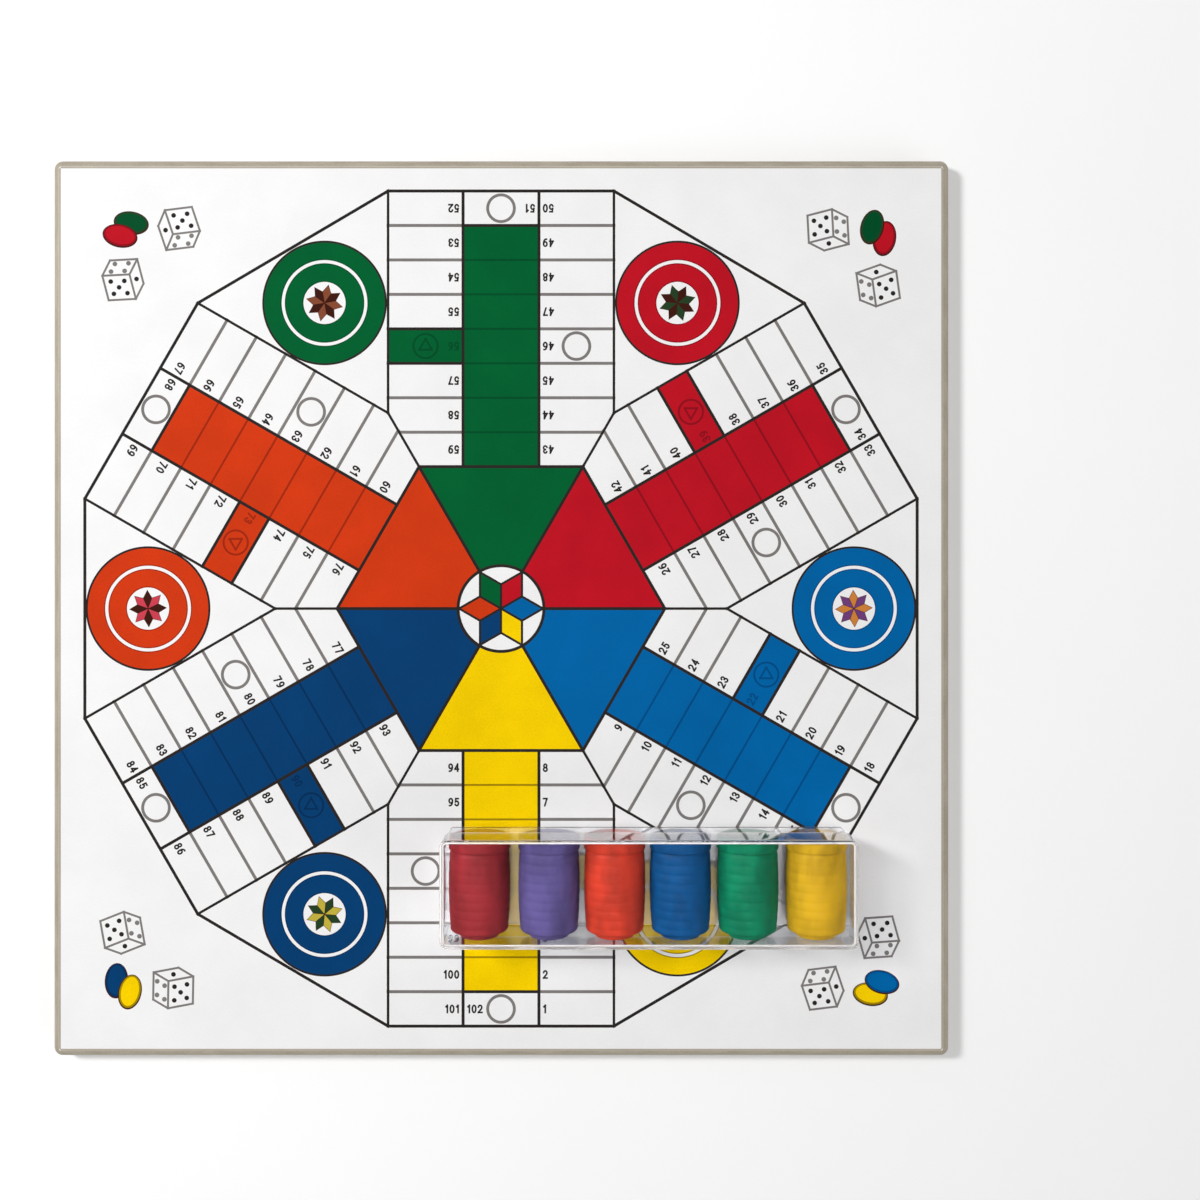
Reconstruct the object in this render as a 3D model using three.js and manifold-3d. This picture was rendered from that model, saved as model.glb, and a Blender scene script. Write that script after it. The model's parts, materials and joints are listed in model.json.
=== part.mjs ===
// Six-player parcheesi board with a clear case of dice cups, counters and dice lying on it.
// Millimetres, +Z up, origin at the centre of the board's underside, case towards -Y.
import * as THREE from 'three';
import { mergeVertices } from 'three/addons/utils/BufferGeometryUtils.js';
import Module from 'manifold-3d';

const wasm = await Module();
wasm.setup();

// Board
const BOARD_SIDE = 400;
const BOARD_CORNER_RADIUS = 4;
const CORE_THICKNESS = 8.6;
const CORE_EDGE_RADIUS = 3;
const SHEET_THICKNESS = 0.4;

// Dice cup, measured along its own axis from foot to mouth
const CUP_LENGTH = 41.4;
const CUP_RIM_DIAMETER = 26.6;
const CUP_RIM_LENGTH = 4.2;
const CUP_LIP_CHAMFER = 0.5;
const CUP_NECK_DIAMETER = 25.6;
const CUP_NECK_LENGTH = 1.4;
const CUP_BELLY_DIAMETER = 26.6;
const CUP_BELLY_HEIGHT = 22;
const CUP_BASE_DIAMETER = 25;
const CUP_SHOULDER_RADIUS = 1.2;
const CUP_FOOT_DIAMETER = 17;
const CUP_FOOT_HEIGHT = 2.5;
const CUP_FOOT_RING = 2.2;
const CUP_FOOT_RECESS = 0.8;
const CUP_WALL = 1.4;
const CUP_FLOOR = 1.6;
const CUP_RIDGE_PITCH = 3.9;
const CUP_RIDGE_DEPTH = 0.35;

// Counters and die, in the order in which they lie in a cup
const COUNTERS_PER_CUP = 4;
const COUNTER_DIAMETER = 15;
const COUNTER_THICKNESS = 3.8;
const COUNTER_RIM = 2;
const COUNTER_RECESS = 0.7;
const COUNTER_RECESS_SLOPE = 0.6;
const DIE_SIDE = 11;
const DIE_CORNER_RADIUS = 1.4;
const DIE_EDGE_RADIUS = 1.2;

// Case, a tray of full height and a lid that slips over it; its middle lies this far from two edges of the board
const CASE_FROM_RIGHT_EDGE = 135.15;
const CASE_FROM_NEAR_EDGE = 80.75;
const CASE_WALL = 0.8;
const CASE_PANEL = 1.2;
const CASE_CORNER_RADIUS = 2;
const LID_SKIRT_DEPTH = 13;
const LID_CLEARANCE = 0.25;

// The loose cups lie at uneven distances from each other
const CUP_GAPS = [3.6, 1.9, 1.9, 2.6, 3.1];

// Room between pieces that lie in or on each other
const CLEARANCE = 0.3;

// Facets of the round forms
const CUP_SIDES = 18;
const CUP_BORE_STEPS = 4;
const CUP_SHOULDER_STEPS = 2;
const COUNTER_SIDES = 14;
const BOX_SEGMENTS = 3;
const DIE_SEGMENTS = 2;

const SETS = [
  { colour: 'red', cup: 0x9c1d3c, piece: 0xb3202f },
  { colour: 'purple', cup: 0x4d3f8f, piece: 0x5a4a9c },
  { colour: 'orange', cup: 0xc94a26, piece: 0xd8571f },
  { colour: 'blue', cup: 0x14509a, piece: 0x1a5fae },
  { colour: 'green', cup: 0x146b49, piece: 0x157a4c },
  { colour: 'yellow', cup: 0xd9a72c, piece: 0xe8bd2a },
];

// Materials
function opaque(color, roughness) {
  return new THREE.MeshStandardMaterial({ color, roughness, metalness: 0 });
}

function clearPlastic() {
  const material = new THREE.MeshStandardMaterial({ color: 0xeef2f4, roughness: 0.12, metalness: 0 });
  material.transparent = true;
  material.opacity = 0.3;
  return material;
}

function piece(name, geometry, material, x = 0, y = 0, z = 0) {
  const mesh = new THREE.Mesh(geometry, material);
  mesh.name = name;
  mesh.position.set(x, y, z);
  return mesh;
}

// Outlines and solids
function roundedRectangle(length, width, radius) {
  const x = length / 2 - radius;
  const y = width / 2 - radius;
  const outline = new THREE.Shape();
  outline.absarc(x, y, radius, 0, Math.PI / 2);
  outline.absarc(-x, y, radius, Math.PI / 2, Math.PI);
  outline.absarc(-x, -y, radius, Math.PI, 1.5 * Math.PI);
  outline.absarc(x, -y, radius, 1.5 * Math.PI, 2 * Math.PI);
  outline.closePath();
  return outline;
}

// A slab standing on z = 0, with its upper and lower edges rounded where edgeRadius is given.
function slab(length, width, thickness, cornerRadius, edgeRadius = 0, segments = BOX_SEGMENTS) {
  const geometry = new THREE.ExtrudeGeometry(roundedRectangle(length, width, cornerRadius), {
    depth: thickness - 2 * edgeRadius,
    curveSegments: segments,
    bevelEnabled: edgeRadius > 0,
    bevelSize: edgeRadius,
    bevelOffset: -edgeRadius,
    bevelThickness: edgeRadius,
    bevelSegments: segments,
  });
  return geometry.translate(0, 0, edgeRadius);
}

function toSolid(geometry) {
  const bare = geometry.clone();
  bare.deleteAttribute('normal');
  bare.deleteAttribute('uv');
  const merged = mergeVertices(bare);
  return new wasm.Manifold(new wasm.Mesh({
    numProp: 3,
    vertProperties: new Float32Array(merged.attributes.position.array),
    triVerts: new Uint32Array(merged.index.array),
  }));
}

function toGeometry(solid) {
  const mesh = solid.getMesh();
  const geometry = new THREE.BufferGeometry();
  geometry.setAttribute('position', new THREE.BufferAttribute(new Float32Array(mesh.vertProperties), 3));
  geometry.setIndex(new THREE.BufferAttribute(new Uint32Array(mesh.triVerts), 1));
  geometry.computeVertexNormals();
  return geometry;
}

// A box open at the top: outer size, with its panel on z = 0.
function openBox(length, width, height, cornerRadius) {
  const outer = slab(length, width, height, cornerRadius);
  const hollow = slab(
    length - 2 * CASE_WALL,
    width - 2 * CASE_WALL,
    height,
    cornerRadius - CASE_WALL,
  ).translate(0, 0, CASE_PANEL);
  return toGeometry(toSolid(outer).subtract(toSolid(hollow)));
}

// Dice cup: a ridged barrel on a ring foot, with a plain rim above a narrow neck
const cupWidth = Math.max(CUP_RIM_DIAMETER, CUP_BELLY_DIAMETER);
const cupBaseHeight = CUP_FOOT_HEIGHT + CUP_SHOULDER_RADIUS;
const cupBoreStart = CUP_FOOT_HEIGHT + CUP_FLOOR;
const cupRimHeight = CUP_LENGTH - CUP_RIM_LENGTH;
const cupNeckHeight = cupRimHeight - CUP_NECK_LENGTH;

// Outer radius of the barrel without its ridges, widest at the belly.
function barrelRadius(height) {
  const above = height > CUP_BELLY_HEIGHT;
  const end = above ? cupNeckHeight : cupBaseHeight;
  const endDiameter = above ? CUP_NECK_DIAMETER : CUP_BASE_DIAMETER;
  const share = Math.min(1, (height - CUP_BELLY_HEIGHT) / (end - CUP_BELLY_HEIGHT));
  return (CUP_BELLY_DIAMETER - (CUP_BELLY_DIAMETER - endDiameter) * share ** 2) / 2;
}

function boreRadius(height) {
  return barrelRadius(height) - CUP_WALL;
}

// Radius that a round wall of flat facets leaves free everywhere.
function freeRadius(radius) {
  return radius * Math.cos(Math.PI / CUP_SIDES);
}

function cupFoot() {
  const radius = CUP_FOOT_DIAMETER / 2;
  const points = [
    [0, CUP_FOOT_RECESS],
    [radius - CUP_FOOT_RING, CUP_FOOT_RECESS],
    [radius - CUP_FOOT_RING + CUP_FOOT_RECESS, 0],
    [radius, 0],
    [radius, CUP_FOOT_HEIGHT],
  ];
  const shoulderCentre = CUP_BASE_DIAMETER / 2 - CUP_SHOULDER_RADIUS;
  for (let i = 0; i <= CUP_SHOULDER_STEPS; i += 1) {
    const angle = (i / CUP_SHOULDER_STEPS) * (Math.PI / 2);
    points.push([
      shoulderCentre + CUP_SHOULDER_RADIUS * Math.sin(angle),
      cupBaseHeight - CUP_SHOULDER_RADIUS * Math.cos(angle),
    ]);
  }
  return points;
}

function cupRidges() {
  const ridges = Math.floor((cupNeckHeight - cupBaseHeight) / CUP_RIDGE_PITCH);
  const first = cupNeckHeight - ridges * CUP_RIDGE_PITCH;
  const points = [];
  for (let i = 0; i < ridges; i += 1) {
    const groove = first + i * CUP_RIDGE_PITCH;
    const crest = groove + CUP_RIDGE_PITCH / 2;
    points.push([barrelRadius(groove) - CUP_RIDGE_DEPTH, groove], [barrelRadius(crest), crest]);
  }
  return points;
}

function cupRim() {
  const radius = CUP_RIM_DIAMETER / 2;
  const mouthRadius = boreRadius(CUP_LENGTH);
  return [
    [CUP_NECK_DIAMETER / 2, cupNeckHeight],
    [CUP_NECK_DIAMETER / 2, cupRimHeight - CUP_LIP_CHAMFER],
    [radius, cupRimHeight],
    [radius, CUP_LENGTH - CUP_LIP_CHAMFER],
    [radius - CUP_LIP_CHAMFER, CUP_LENGTH],
    [mouthRadius + CUP_LIP_CHAMFER, CUP_LENGTH],
    [mouthRadius, CUP_LENGTH - CUP_LIP_CHAMFER],
  ];
}

function cupBore() {
  const points = [];
  for (let i = 0; i <= CUP_BORE_STEPS; i += 1) {
    const height = cupNeckHeight + (cupBoreStart - cupNeckHeight) * (i / CUP_BORE_STEPS);
    points.push([boreRadius(height), height]);
  }
  points.push([0, cupBoreStart]);
  return points;
}

function turned(profile, sides) {
  return new THREE.LatheGeometry(profile.map(([radius, height]) => new THREE.Vector2(radius, height)), sides);
}

function cupGeometry() {
  return turned([...cupFoot(), ...cupRidges(), ...cupRim(), ...cupBore()], CUP_SIDES);
}

// Counter, with a shallow dish in each face
function counterGeometry() {
  const radius = COUNTER_DIAMETER / 2;
  const dish = radius - COUNTER_RIM;
  const upper = [
    [radius, COUNTER_THICKNESS],
    [dish, COUNTER_THICKNESS],
    [dish - COUNTER_RECESS_SLOPE, COUNTER_THICKNESS - COUNTER_RECESS],
    [0, COUNTER_THICKNESS - COUNTER_RECESS],
  ];
  const lower = upper.map(([r, height]) => [r, COUNTER_THICKNESS - height]).reverse();
  return turned([...lower, ...upper], COUNTER_SIDES);
}

// What lies in a cup: a roll of counters on edge at the floor, then the die
function cupContents(set) {
  const step = COUNTER_THICKNESS + CLEARANCE;
  const rollStart = cupBoreStart + CLEARANCE;
  const rollDrop = freeRadius(boreRadius(rollStart)) - COUNTER_DIAMETER / 2 - CLEARANCE;
  const counter = counterGeometry();
  const material = opaque(set.piece, 0.35);
  const contents = [];
  for (let i = 0; i < COUNTERS_PER_CUP; i += 1) {
    const name = `counter_${set.colour}_${i + 1}`;
    contents.push(piece(name, counter, material, 0, rollStart + i * step, -rollDrop));
  }
  const dieCentre = rollStart + COUNTERS_PER_CUP * step + DIE_SIDE / 2;
  const dieSpace = freeRadius(boreRadius(CUP_LENGTH)) - CLEARANCE;
  const dieDrop = Math.sqrt(dieSpace ** 2 - (DIE_SIDE / 2) ** 2);
  const die = slab(DIE_SIDE, DIE_SIDE, DIE_SIDE, DIE_CORNER_RADIUS, DIE_EDGE_RADIUS, DIE_SEGMENTS);
  contents.push(piece(`die_${set.colour}`, die, opaque(0xf2f0ea, 0.3), 0, dieCentre, -dieDrop));
  return contents;
}

function cup(set, x, y, z) {
  const group = new THREE.Group();
  group.position.set(x, y, z);
  group.add(piece(`dice_cup_${set.colour}`, cupGeometry(), opaque(set.cup, 0.32)), ...cupContents(set));
  return group;
}

// Case with its row of cups
function caseWithCups() {
  const cornerRelief = (CASE_CORNER_RADIUS - CASE_WALL) * (1 - Math.SQRT1_2);
  const endGap = CLEARANCE + cornerRelief;
  const gapsLength = CUP_GAPS.reduce((sum, gap) => sum + gap, 0);
  const innerLength = SETS.length * cupWidth + gapsLength + 2 * endGap;
  const innerWidth = CUP_LENGTH + 2 * endGap;
  const trayLength = innerLength + 2 * CASE_WALL;
  const trayWidth = innerWidth + 2 * CASE_WALL;
  const trayHeight = CASE_PANEL + cupWidth + 2 * CLEARANCE;
  const lidGrowth = 2 * (LID_CLEARANCE + CASE_WALL);
  const lidCorner = CASE_CORNER_RADIUS + LID_CLEARANCE + CASE_WALL;
  const group = new THREE.Group();
  const tray = openBox(trayLength, trayWidth, trayHeight, CASE_CORNER_RADIUS);
  group.add(piece('case_tray', tray, clearPlastic()));
  const lid = openBox(trayLength + lidGrowth, trayWidth + lidGrowth, LID_SKIRT_DEPTH + CASE_PANEL, lidCorner);
  lid.rotateX(Math.PI);
  group.add(piece('case_lid', lid, clearPlastic(), 0, 0, trayHeight + CASE_PANEL));
  const axisHeight = CASE_PANEL + CLEARANCE + cupWidth / 2;
  let x = -innerLength / 2 + endGap + cupWidth / 2;
  SETS.forEach((set, i) => {
    group.add(cup(set, x, -CUP_LENGTH / 2, axisHeight));
    x += cupWidth + (CUP_GAPS[i] ?? 0);
  });
  return group;
}

// Board of a core between two printed sheets
function board() {
  const flatSide = BOARD_SIDE - 2 * CORE_EDGE_RADIUS;
  const flatCorner = BOARD_CORNER_RADIUS - CORE_EDGE_RADIUS;
  const core = slab(BOARD_SIDE, BOARD_SIDE, CORE_THICKNESS, BOARD_CORNER_RADIUS, CORE_EDGE_RADIUS);
  const sheet = slab(flatSide, flatSide, SHEET_THICKNESS, flatCorner);
  const group = new THREE.Group();
  group.add(
    piece('reverse_sheet', sheet, opaque(0xf2c7ad, 0.45)),
    piece('board_core', core, opaque(0xafa894, 0.7), 0, 0, SHEET_THICKNESS),
    piece('parcheesi_sheet', sheet, opaque(0xf2f1f0, 0.45), 0, 0, SHEET_THICKNESS + CORE_THICKNESS),
  );
  return group;
}

const set = new THREE.Group();
const gameCase = caseWithCups();
gameCase.position.set(
  BOARD_SIDE / 2 - CASE_FROM_RIGHT_EDGE,
  CASE_FROM_NEAR_EDGE - BOARD_SIDE / 2,
  CORE_THICKNESS + 2 * SHEET_THICKNESS,
);
set.add(board(), gameCase);

export default set;
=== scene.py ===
"""Six-player parcheesi board with a clear case of dice cups, counters and dice lying on it.

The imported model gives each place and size. This script makes the fine surfaces, the two printed
faces, the finishes, the studio and the camera. Sizes are in millimetres until a piece is made.
"""

import json
import logging
import math
from collections.abc import Iterable, Sequence
from dataclasses import dataclass, field
from enum import Enum
from typing import Any

import bmesh
import bpy
import numpy as np
from mathutils import Euler, Matrix, Vector
from mathutils.geometry import delaunay_2d_cdt

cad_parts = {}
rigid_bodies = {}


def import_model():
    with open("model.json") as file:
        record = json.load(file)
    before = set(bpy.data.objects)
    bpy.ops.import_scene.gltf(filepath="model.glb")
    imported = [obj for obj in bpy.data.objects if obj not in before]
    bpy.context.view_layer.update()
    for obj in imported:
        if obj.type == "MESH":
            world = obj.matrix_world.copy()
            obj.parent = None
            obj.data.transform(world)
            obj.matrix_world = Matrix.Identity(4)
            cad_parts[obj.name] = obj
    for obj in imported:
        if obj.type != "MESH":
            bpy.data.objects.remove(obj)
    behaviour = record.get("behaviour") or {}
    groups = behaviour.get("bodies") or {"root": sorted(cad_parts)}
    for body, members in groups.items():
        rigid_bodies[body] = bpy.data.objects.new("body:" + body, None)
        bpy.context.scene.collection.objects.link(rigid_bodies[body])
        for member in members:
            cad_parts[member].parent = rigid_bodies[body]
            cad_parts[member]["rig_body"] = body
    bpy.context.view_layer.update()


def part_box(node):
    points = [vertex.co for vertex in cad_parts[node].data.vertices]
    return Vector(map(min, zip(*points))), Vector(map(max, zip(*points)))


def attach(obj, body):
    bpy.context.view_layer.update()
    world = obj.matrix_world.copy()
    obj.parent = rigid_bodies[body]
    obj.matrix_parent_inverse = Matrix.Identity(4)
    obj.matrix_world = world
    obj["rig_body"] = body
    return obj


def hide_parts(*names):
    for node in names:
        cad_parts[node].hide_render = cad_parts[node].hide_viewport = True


LOG = logging.getLogger("parcheesi_board")

MM = 0.001
SUPPORT = 0.15
CUT_TOLERANCE = 1e-4
# Mesh attribute marking where the clear plastic turns frosted white, partly a painted highlight and
# painted light
RIM_MARK = "rim"

Point = tuple[float, float]
Pair = tuple[float, float]
Triple = tuple[float, float, float]
Colour = tuple[int, int, int]
Triangle = tuple[int, int, int]


def linear(colour: Colour) -> tuple[float, float, float, float]:
    """Turns an sRGB colour into the linear colour that shaders take.

    Args:
        colour: Red, green and blue from 0 to 255.

    Returns:
        Linear red, green and blue, with full alpha.
    """
    shares = [channel / 255 for channel in colour]
    red, green, blue = (s / 12.92 if s <= 0.04045 else ((s + 0.055) / 1.055) ** 2.4 for s in shares)
    return (red, green, blue, 1.0)


def shaded(colour: Colour, share: float) -> Colour:
    """Darkens or lightens an sRGB colour by a share, within its range."""
    red, green, blue = (max(0, min(255, round(channel * share))) for channel in colour)
    return (red, green, blue)


# Shader nodes


class Value:
    """A socket that carries a number, with Python's arithmetic on it."""

    def __init__(self, graph: "Graph", socket: bpy.types.NodeSocket) -> None:
        """Wraps a socket of a graph."""
        self.graph = graph
        self.socket = socket

    def _math(self, operation: str, first: Any, second: Any) -> "Value":
        """Adds one Math node and returns what it gives."""
        made = self.graph.node("ShaderNodeMath", {"operation": operation}, {0: first, 1: second})
        return Value(self.graph, made.outputs[0])

    def __add__(self, other: Any) -> "Value":
        """Adds a number or another value."""
        return self._math("ADD", self, other)

    def __radd__(self, other: Any) -> "Value":
        """Adds this value to a number."""
        return self._math("ADD", other, self)

    def __sub__(self, other: Any) -> "Value":
        """Takes away a number or another value."""
        return self._math("SUBTRACT", self, other)

    def __rsub__(self, other: Any) -> "Value":
        """Takes this value away from a number."""
        return self._math("SUBTRACT", other, self)

    def __mul__(self, other: Any) -> "Value":
        """Multiplies by a number or another value."""
        return self._math("MULTIPLY", self, other)

    def __rmul__(self, other: Any) -> "Value":
        """Multiplies a number by this value."""
        return self._math("MULTIPLY", other, self)


class Graph:
    """The shader nodes of one material or of the room's light."""

    def __init__(self, owner: bpy.types.Material | bpy.types.World) -> None:
        """Takes a material or a world, and empties its node tree.

        Args:
            owner: The material or the world.
        """
        owner.use_nodes = True
        self.tree = owner.node_tree
        self.tree.nodes.clear()

    def node(
        self,
        kind: str,
        settings: dict[str, Any] | None = None,
        sockets: dict[int | str, Any] | None = None,
    ) -> bpy.types.Node:
        """Adds one node.

        Args:
            kind: The node's type.
            settings: Its own settings, set first.
            sockets: Values or links for its inputs, by name or place.

        Returns:
            The new node.
        """
        made = self.tree.nodes.new(kind)
        for name, setting in (settings or {}).items():
            setattr(made, name, setting)
        for key, value in (sockets or {}).items():
            self._feed(made.inputs[key], value)
        return made

    def _feed(self, socket: bpy.types.NodeSocket, value: Any) -> None:
        """Links a socket to a value or another socket, or sets its number.

        Args:
            socket: The input.
            value: What feeds it.
        """
        if isinstance(value, Value):
            self.tree.links.new(value.socket, socket)
        elif isinstance(value, bpy.types.NodeSocket):
            self.tree.links.new(value, socket)
        else:
            socket.default_value = value

    def noise(
        self, scale: float, detail: float = 2.0, stretch: Sequence[float] = (1, 1, 1)
    ) -> Value:
        """Gives a noise from 0 to 1 that stays on the piece.

        Args:
            scale: Its grain, in cells to the metre.
            detail: How many finer grains it holds.
            stretch: Its scale along x, y and z.

        Returns:
            The noise.
        """
        place = self.node("ShaderNodeTexCoord").outputs["Object"]
        spread = self.node("ShaderNodeMapping", {}, {"Vector": place, "Scale": tuple(stretch)})
        sockets = {"Vector": spread.outputs[0], "Scale": scale, "Detail": detail}
        return Value(self, self.node("ShaderNodeTexNoise", {}, sockets).outputs[0])

    def blend(self, factor: Any, first: Any, second: Any) -> bpy.types.NodeSocket:
        """Mixes two colours by a factor."""
        sockets = {0: factor, 6: first, 7: second}
        return self.node("ShaderNodeMix", {"data_type": "RGBA"}, sockets).outputs[2]

    def mottle(self, tone: Any, colour: Colour, less: float, more: float) -> bpy.types.NodeSocket:
        """Mixes two tones of one colour.

        Args:
            tone: The share of the second tone.
            colour: The colour between the two.
            less: How much darker the first tone is, as a share.
            more: How much lighter the second tone is, as a share.

        Returns:
            The mixed colour.
        """
        return self.blend(tone, linear(shaded(colour, 1 - less)), linear(shaded(colour, 1 + more)))

    def step(self, value: Any, low: float, high: float) -> Value:
        """Maps a value so that it runs smoothly from 0 to 1, and no further.

        Args:
            value: The value.
            low: Where it gives 0.
            high: Where it gives 1.

        Returns:
            The mapped value.
        """
        settings = {"interpolation_type": "SMOOTHSTEP"}
        sockets = {"Value": value, "From Min": low, "From Max": high}
        return Value(self, self.node("ShaderNodeMapRange", settings, sockets).outputs[0])

    def span(self, value: Value, ends: Pair) -> Value:
        """Maps a value from 0 to 1 so that it runs evenly between two ends."""
        return ends[0] + (ends[1] - ends[0]) * value

    def bump(self, height: Value, strength: float, depth: float) -> bpy.types.NodeSocket:
        """Turns a height into a normal, with its depth in millimetres."""
        sockets = {"Height": height, "Strength": strength, "Distance": depth * MM}
        return self.node("ShaderNodeBump", {}, sockets).outputs[0]

    def principled(self, sockets: dict[int | str, Any]) -> bpy.types.NodeSocket:
        """Adds the main shader with its sockets."""
        return self.node("ShaderNodeBsdfPrincipled", {}, sockets).outputs[0]

    def close(self, shader: bpy.types.NodeSocket, output: str = "ShaderNodeOutputMaterial") -> None:
        """Links a shader to the output node."""
        self.node(output, {}, {"Surface": shader})


# Finishes


@dataclass(frozen=True)
class Finish:
    """A finish that makes its material once."""

    name: str

    def material(self) -> bpy.types.Material:
        """Makes the finish's material the first time that it is asked for.

        Returns:
            The material.
        """
        made = bpy.data.materials.get(self.name)
        if made is None:
            made = bpy.data.materials.new(self.name)
            self.shade(Graph(made))
        return made

    def shade(self, graph: Graph) -> None:
        """Builds the finish's nodes."""
        raise NotImplementedError


@dataclass(frozen=True)
class CoatedPaper(Finish):
    """Paper or ink under the thin varnish of a printed sheet."""

    colour: Colour
    mottle: float = 0.05
    roughness: float = 0.5
    roughness_spread: float = 0.06
    shine: float = 0.02
    cloud_scale: float = 45
    grain_scale: float = 1400
    grain_share: float = 0.45
    tone_band: Pair = (0.3, 0.7)
    lighter_share: float = 0.6
    tooth_scale: float = 900
    tooth_strength: float = 0.12
    tooth_depth: float = 0.05

    def shade(self, graph: Graph) -> None:
        """Gives a print with faint mottling and the paper's grain.

        Args:
            graph: The empty graph of this material.
        """
        cloud = graph.noise(self.cloud_scale, 3)
        grain = graph.noise(self.grain_scale, 3)
        mixed = cloud * (1 - self.grain_share) + grain * self.grain_share
        tone = graph.step(mixed, *self.tone_band)
        tooth = graph.noise(self.tooth_scale, 4)
        middle, spread = self.roughness, self.roughness_spread
        graph.close(graph.principled({
            "Base Color": graph.mottle(
                tone, self.colour, self.mottle, self.mottle * self.lighter_share
            ),
            "Roughness": graph.span(grain, (middle - spread, middle + spread)),
            "Specular IOR Level": self.shine,
            "Normal": graph.bump(tooth, self.tooth_strength, self.tooth_depth),
        }))


@dataclass(frozen=True)
class SealedFibreboard(Finish):
    """The lacquered edge of a fibreboard panel."""

    colour: Colour
    fibre: Colour
    layer_scale: float = 220
    layer_stretch: Triple = (0.35, 0.35, 4.0)
    layer_share: float = 0.6
    speck_scale: float = 1600
    speck_share: float = 0.4
    tone_band: Pair = (0.32, 0.68)
    roughness: float = 0.42
    roughness_spread: float = 0.2
    shine: float = 0.35
    relief_strength: float = 0.25
    relief_depth: float = 0.08

    def shade(self, graph: Graph) -> None:
        """Gives fine fibres lying in the panel's plane, with a satin lacquer.

        Args:
            graph: The empty graph of this material.
        """
        layers = graph.noise(self.layer_scale, 4, self.layer_stretch)
        specks = graph.noise(self.speck_scale, 2)
        mixed = layers * self.layer_share + specks * self.speck_share
        tone = graph.step(mixed, *self.tone_band)
        relief = specks * 0.5 + layers * 0.5
        graph.close(graph.principled({
            "Base Color": graph.blend(tone, linear(self.fibre), linear(self.colour)),
            "Roughness": self.roughness + self.roughness_spread * specks,
            "Specular IOR Level": self.shine,
            "Normal": graph.bump(relief, self.relief_strength, self.relief_depth),
        }))


@dataclass(frozen=True)
class MouldedPlastic(Finish):
    """Coloured moulded plastic with faint flow marks and handling scuffs."""

    colour: Colour
    roughness: float = 0.5
    shine: float = 0.1
    flow: float = 0.1
    lighter_share: float = 0.7
    tone_band: Pair = (0.3, 0.7)
    roughness_span: Pair = (-0.08, 0.12)
    swirl_scale: float = 130
    swirl_stretch: Triple = (1.0, 0.4, 1.0)
    scuff_scale: float = 700
    scuff_stretch: Triple = (1.0, 0.25, 1.0)
    scuff_strength: float = 0.1
    scuff_depth: float = 0.05

    def shade(self, graph: Graph) -> None:
        """Gives a moulded plastic whose colour and shine vary a little.

        Args:
            graph: The empty graph of this material.
        """
        swirl = graph.noise(self.swirl_scale, 3, self.swirl_stretch)
        scuff = graph.noise(self.scuff_scale, 5, self.scuff_stretch)
        tone = graph.step(swirl, *self.tone_band)
        low, high = self.roughness_span
        graph.close(graph.principled({
            "Base Color": graph.mottle(
                tone, self.colour, self.flow, self.flow * self.lighter_share
            ),
            "Roughness": graph.span(scuff, (self.roughness + low, self.roughness + high)),
            "Specular IOR Level": self.shine,
            "Normal": graph.bump(scuff, self.scuff_strength, self.scuff_depth),
        }))


@dataclass(frozen=True)
class ClearPlastic(Finish):
    """Clear thin-walled plastic that lets the lamps' light through, with frosted rims that are
    partly a painted highlight.
    """

    tint: Colour = (249, 250, 252)
    shadow: Colour = (242, 242, 243)
    frost: Colour = (246, 240, 236)
    index: float = 1.5
    rim_span: Pair = (0.52, 0.72)
    haze_band: Pair = (0.35, 0.8)
    haze_tint: float = -0.015
    haze_frost: float = -0.03
    clear_roughness: Pair = (0.01, 0.04)
    frost_roughness: Pair = (0.4, 0.6)
    scuff_scale: float = 260
    wave_scale: float = 60
    wave_strength: float = 0.05
    wave_depth: float = 0.05

    def shade(self, graph: Graph) -> None:
        """Gives a clear plastic with light scuffs, whitened where the mesh marks it, as frost that
        is partly a painted highlight.

        Args:
            graph: The empty graph of this material.
        """
        scuff = graph.noise(self.scuff_scale, 4)
        haze = graph.step(scuff, *self.haze_band)
        wave = graph.noise(self.wave_scale, 2)
        clear = graph.principled({
            "Base Color": graph.mottle(haze, self.tint, 0.0, self.haze_tint),
            "Roughness": graph.span(haze, self.clear_roughness),
            "Transmission Weight": 1.0,
            "IOR": self.index,
            "Normal": graph.bump(wave, self.wave_strength, self.wave_depth),
        })
        # Frosted white for the marked places: partly real frost, partly a painted highlight
        # standing in for the rims' bright edge glow
        frost_and_highlight_shader = graph.principled({
            "Base Color": graph.mottle(haze, self.frost, 0.0, self.haze_frost),
            "Roughness": graph.span(haze, self.frost_roughness),
        })
        mark = graph.node("ShaderNodeAttribute", {"attribute_name": RIM_MARK}).outputs["Fac"]
        share = Value(graph, mark) * graph.span(scuff, self.rim_span)
        body = graph.node("ShaderNodeMixShader", {}, {0: share, 1: clear, 2: frost_and_highlight_shader}).outputs[0]
        lamp = graph.node("ShaderNodeBsdfTransparent", {}, {"Color": linear(self.shadow)})
        path = graph.node("ShaderNodeLightPath").outputs["Is Shadow Ray"]
        sockets = {0: path, 1: body, 2: lamp.outputs[0]}
        graph.close(graph.node("ShaderNodeMixShader", {}, sockets).outputs[0])


@dataclass(frozen=True)
class StudioPaper(Finish):
    """The plain pale floor of the studio."""

    colour: Colour = (252, 252, 252)
    cloud: float = -0.01
    cloud_scale: float = 8
    roughness: float = 0.9
    shine: float = 0.1

    def shade(self, graph: Graph) -> None:
        """Gives a matt pale paper with hardly any tone in it.

        Args:
            graph: The empty graph of this material.
        """
        graph.close(graph.principled({
            "Base Color": graph.mottle(graph.noise(self.cloud_scale), self.colour, 0.0, self.cloud),
            "Roughness": self.roughness,
            "Specular IOR Level": self.shine,
        }))


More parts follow.
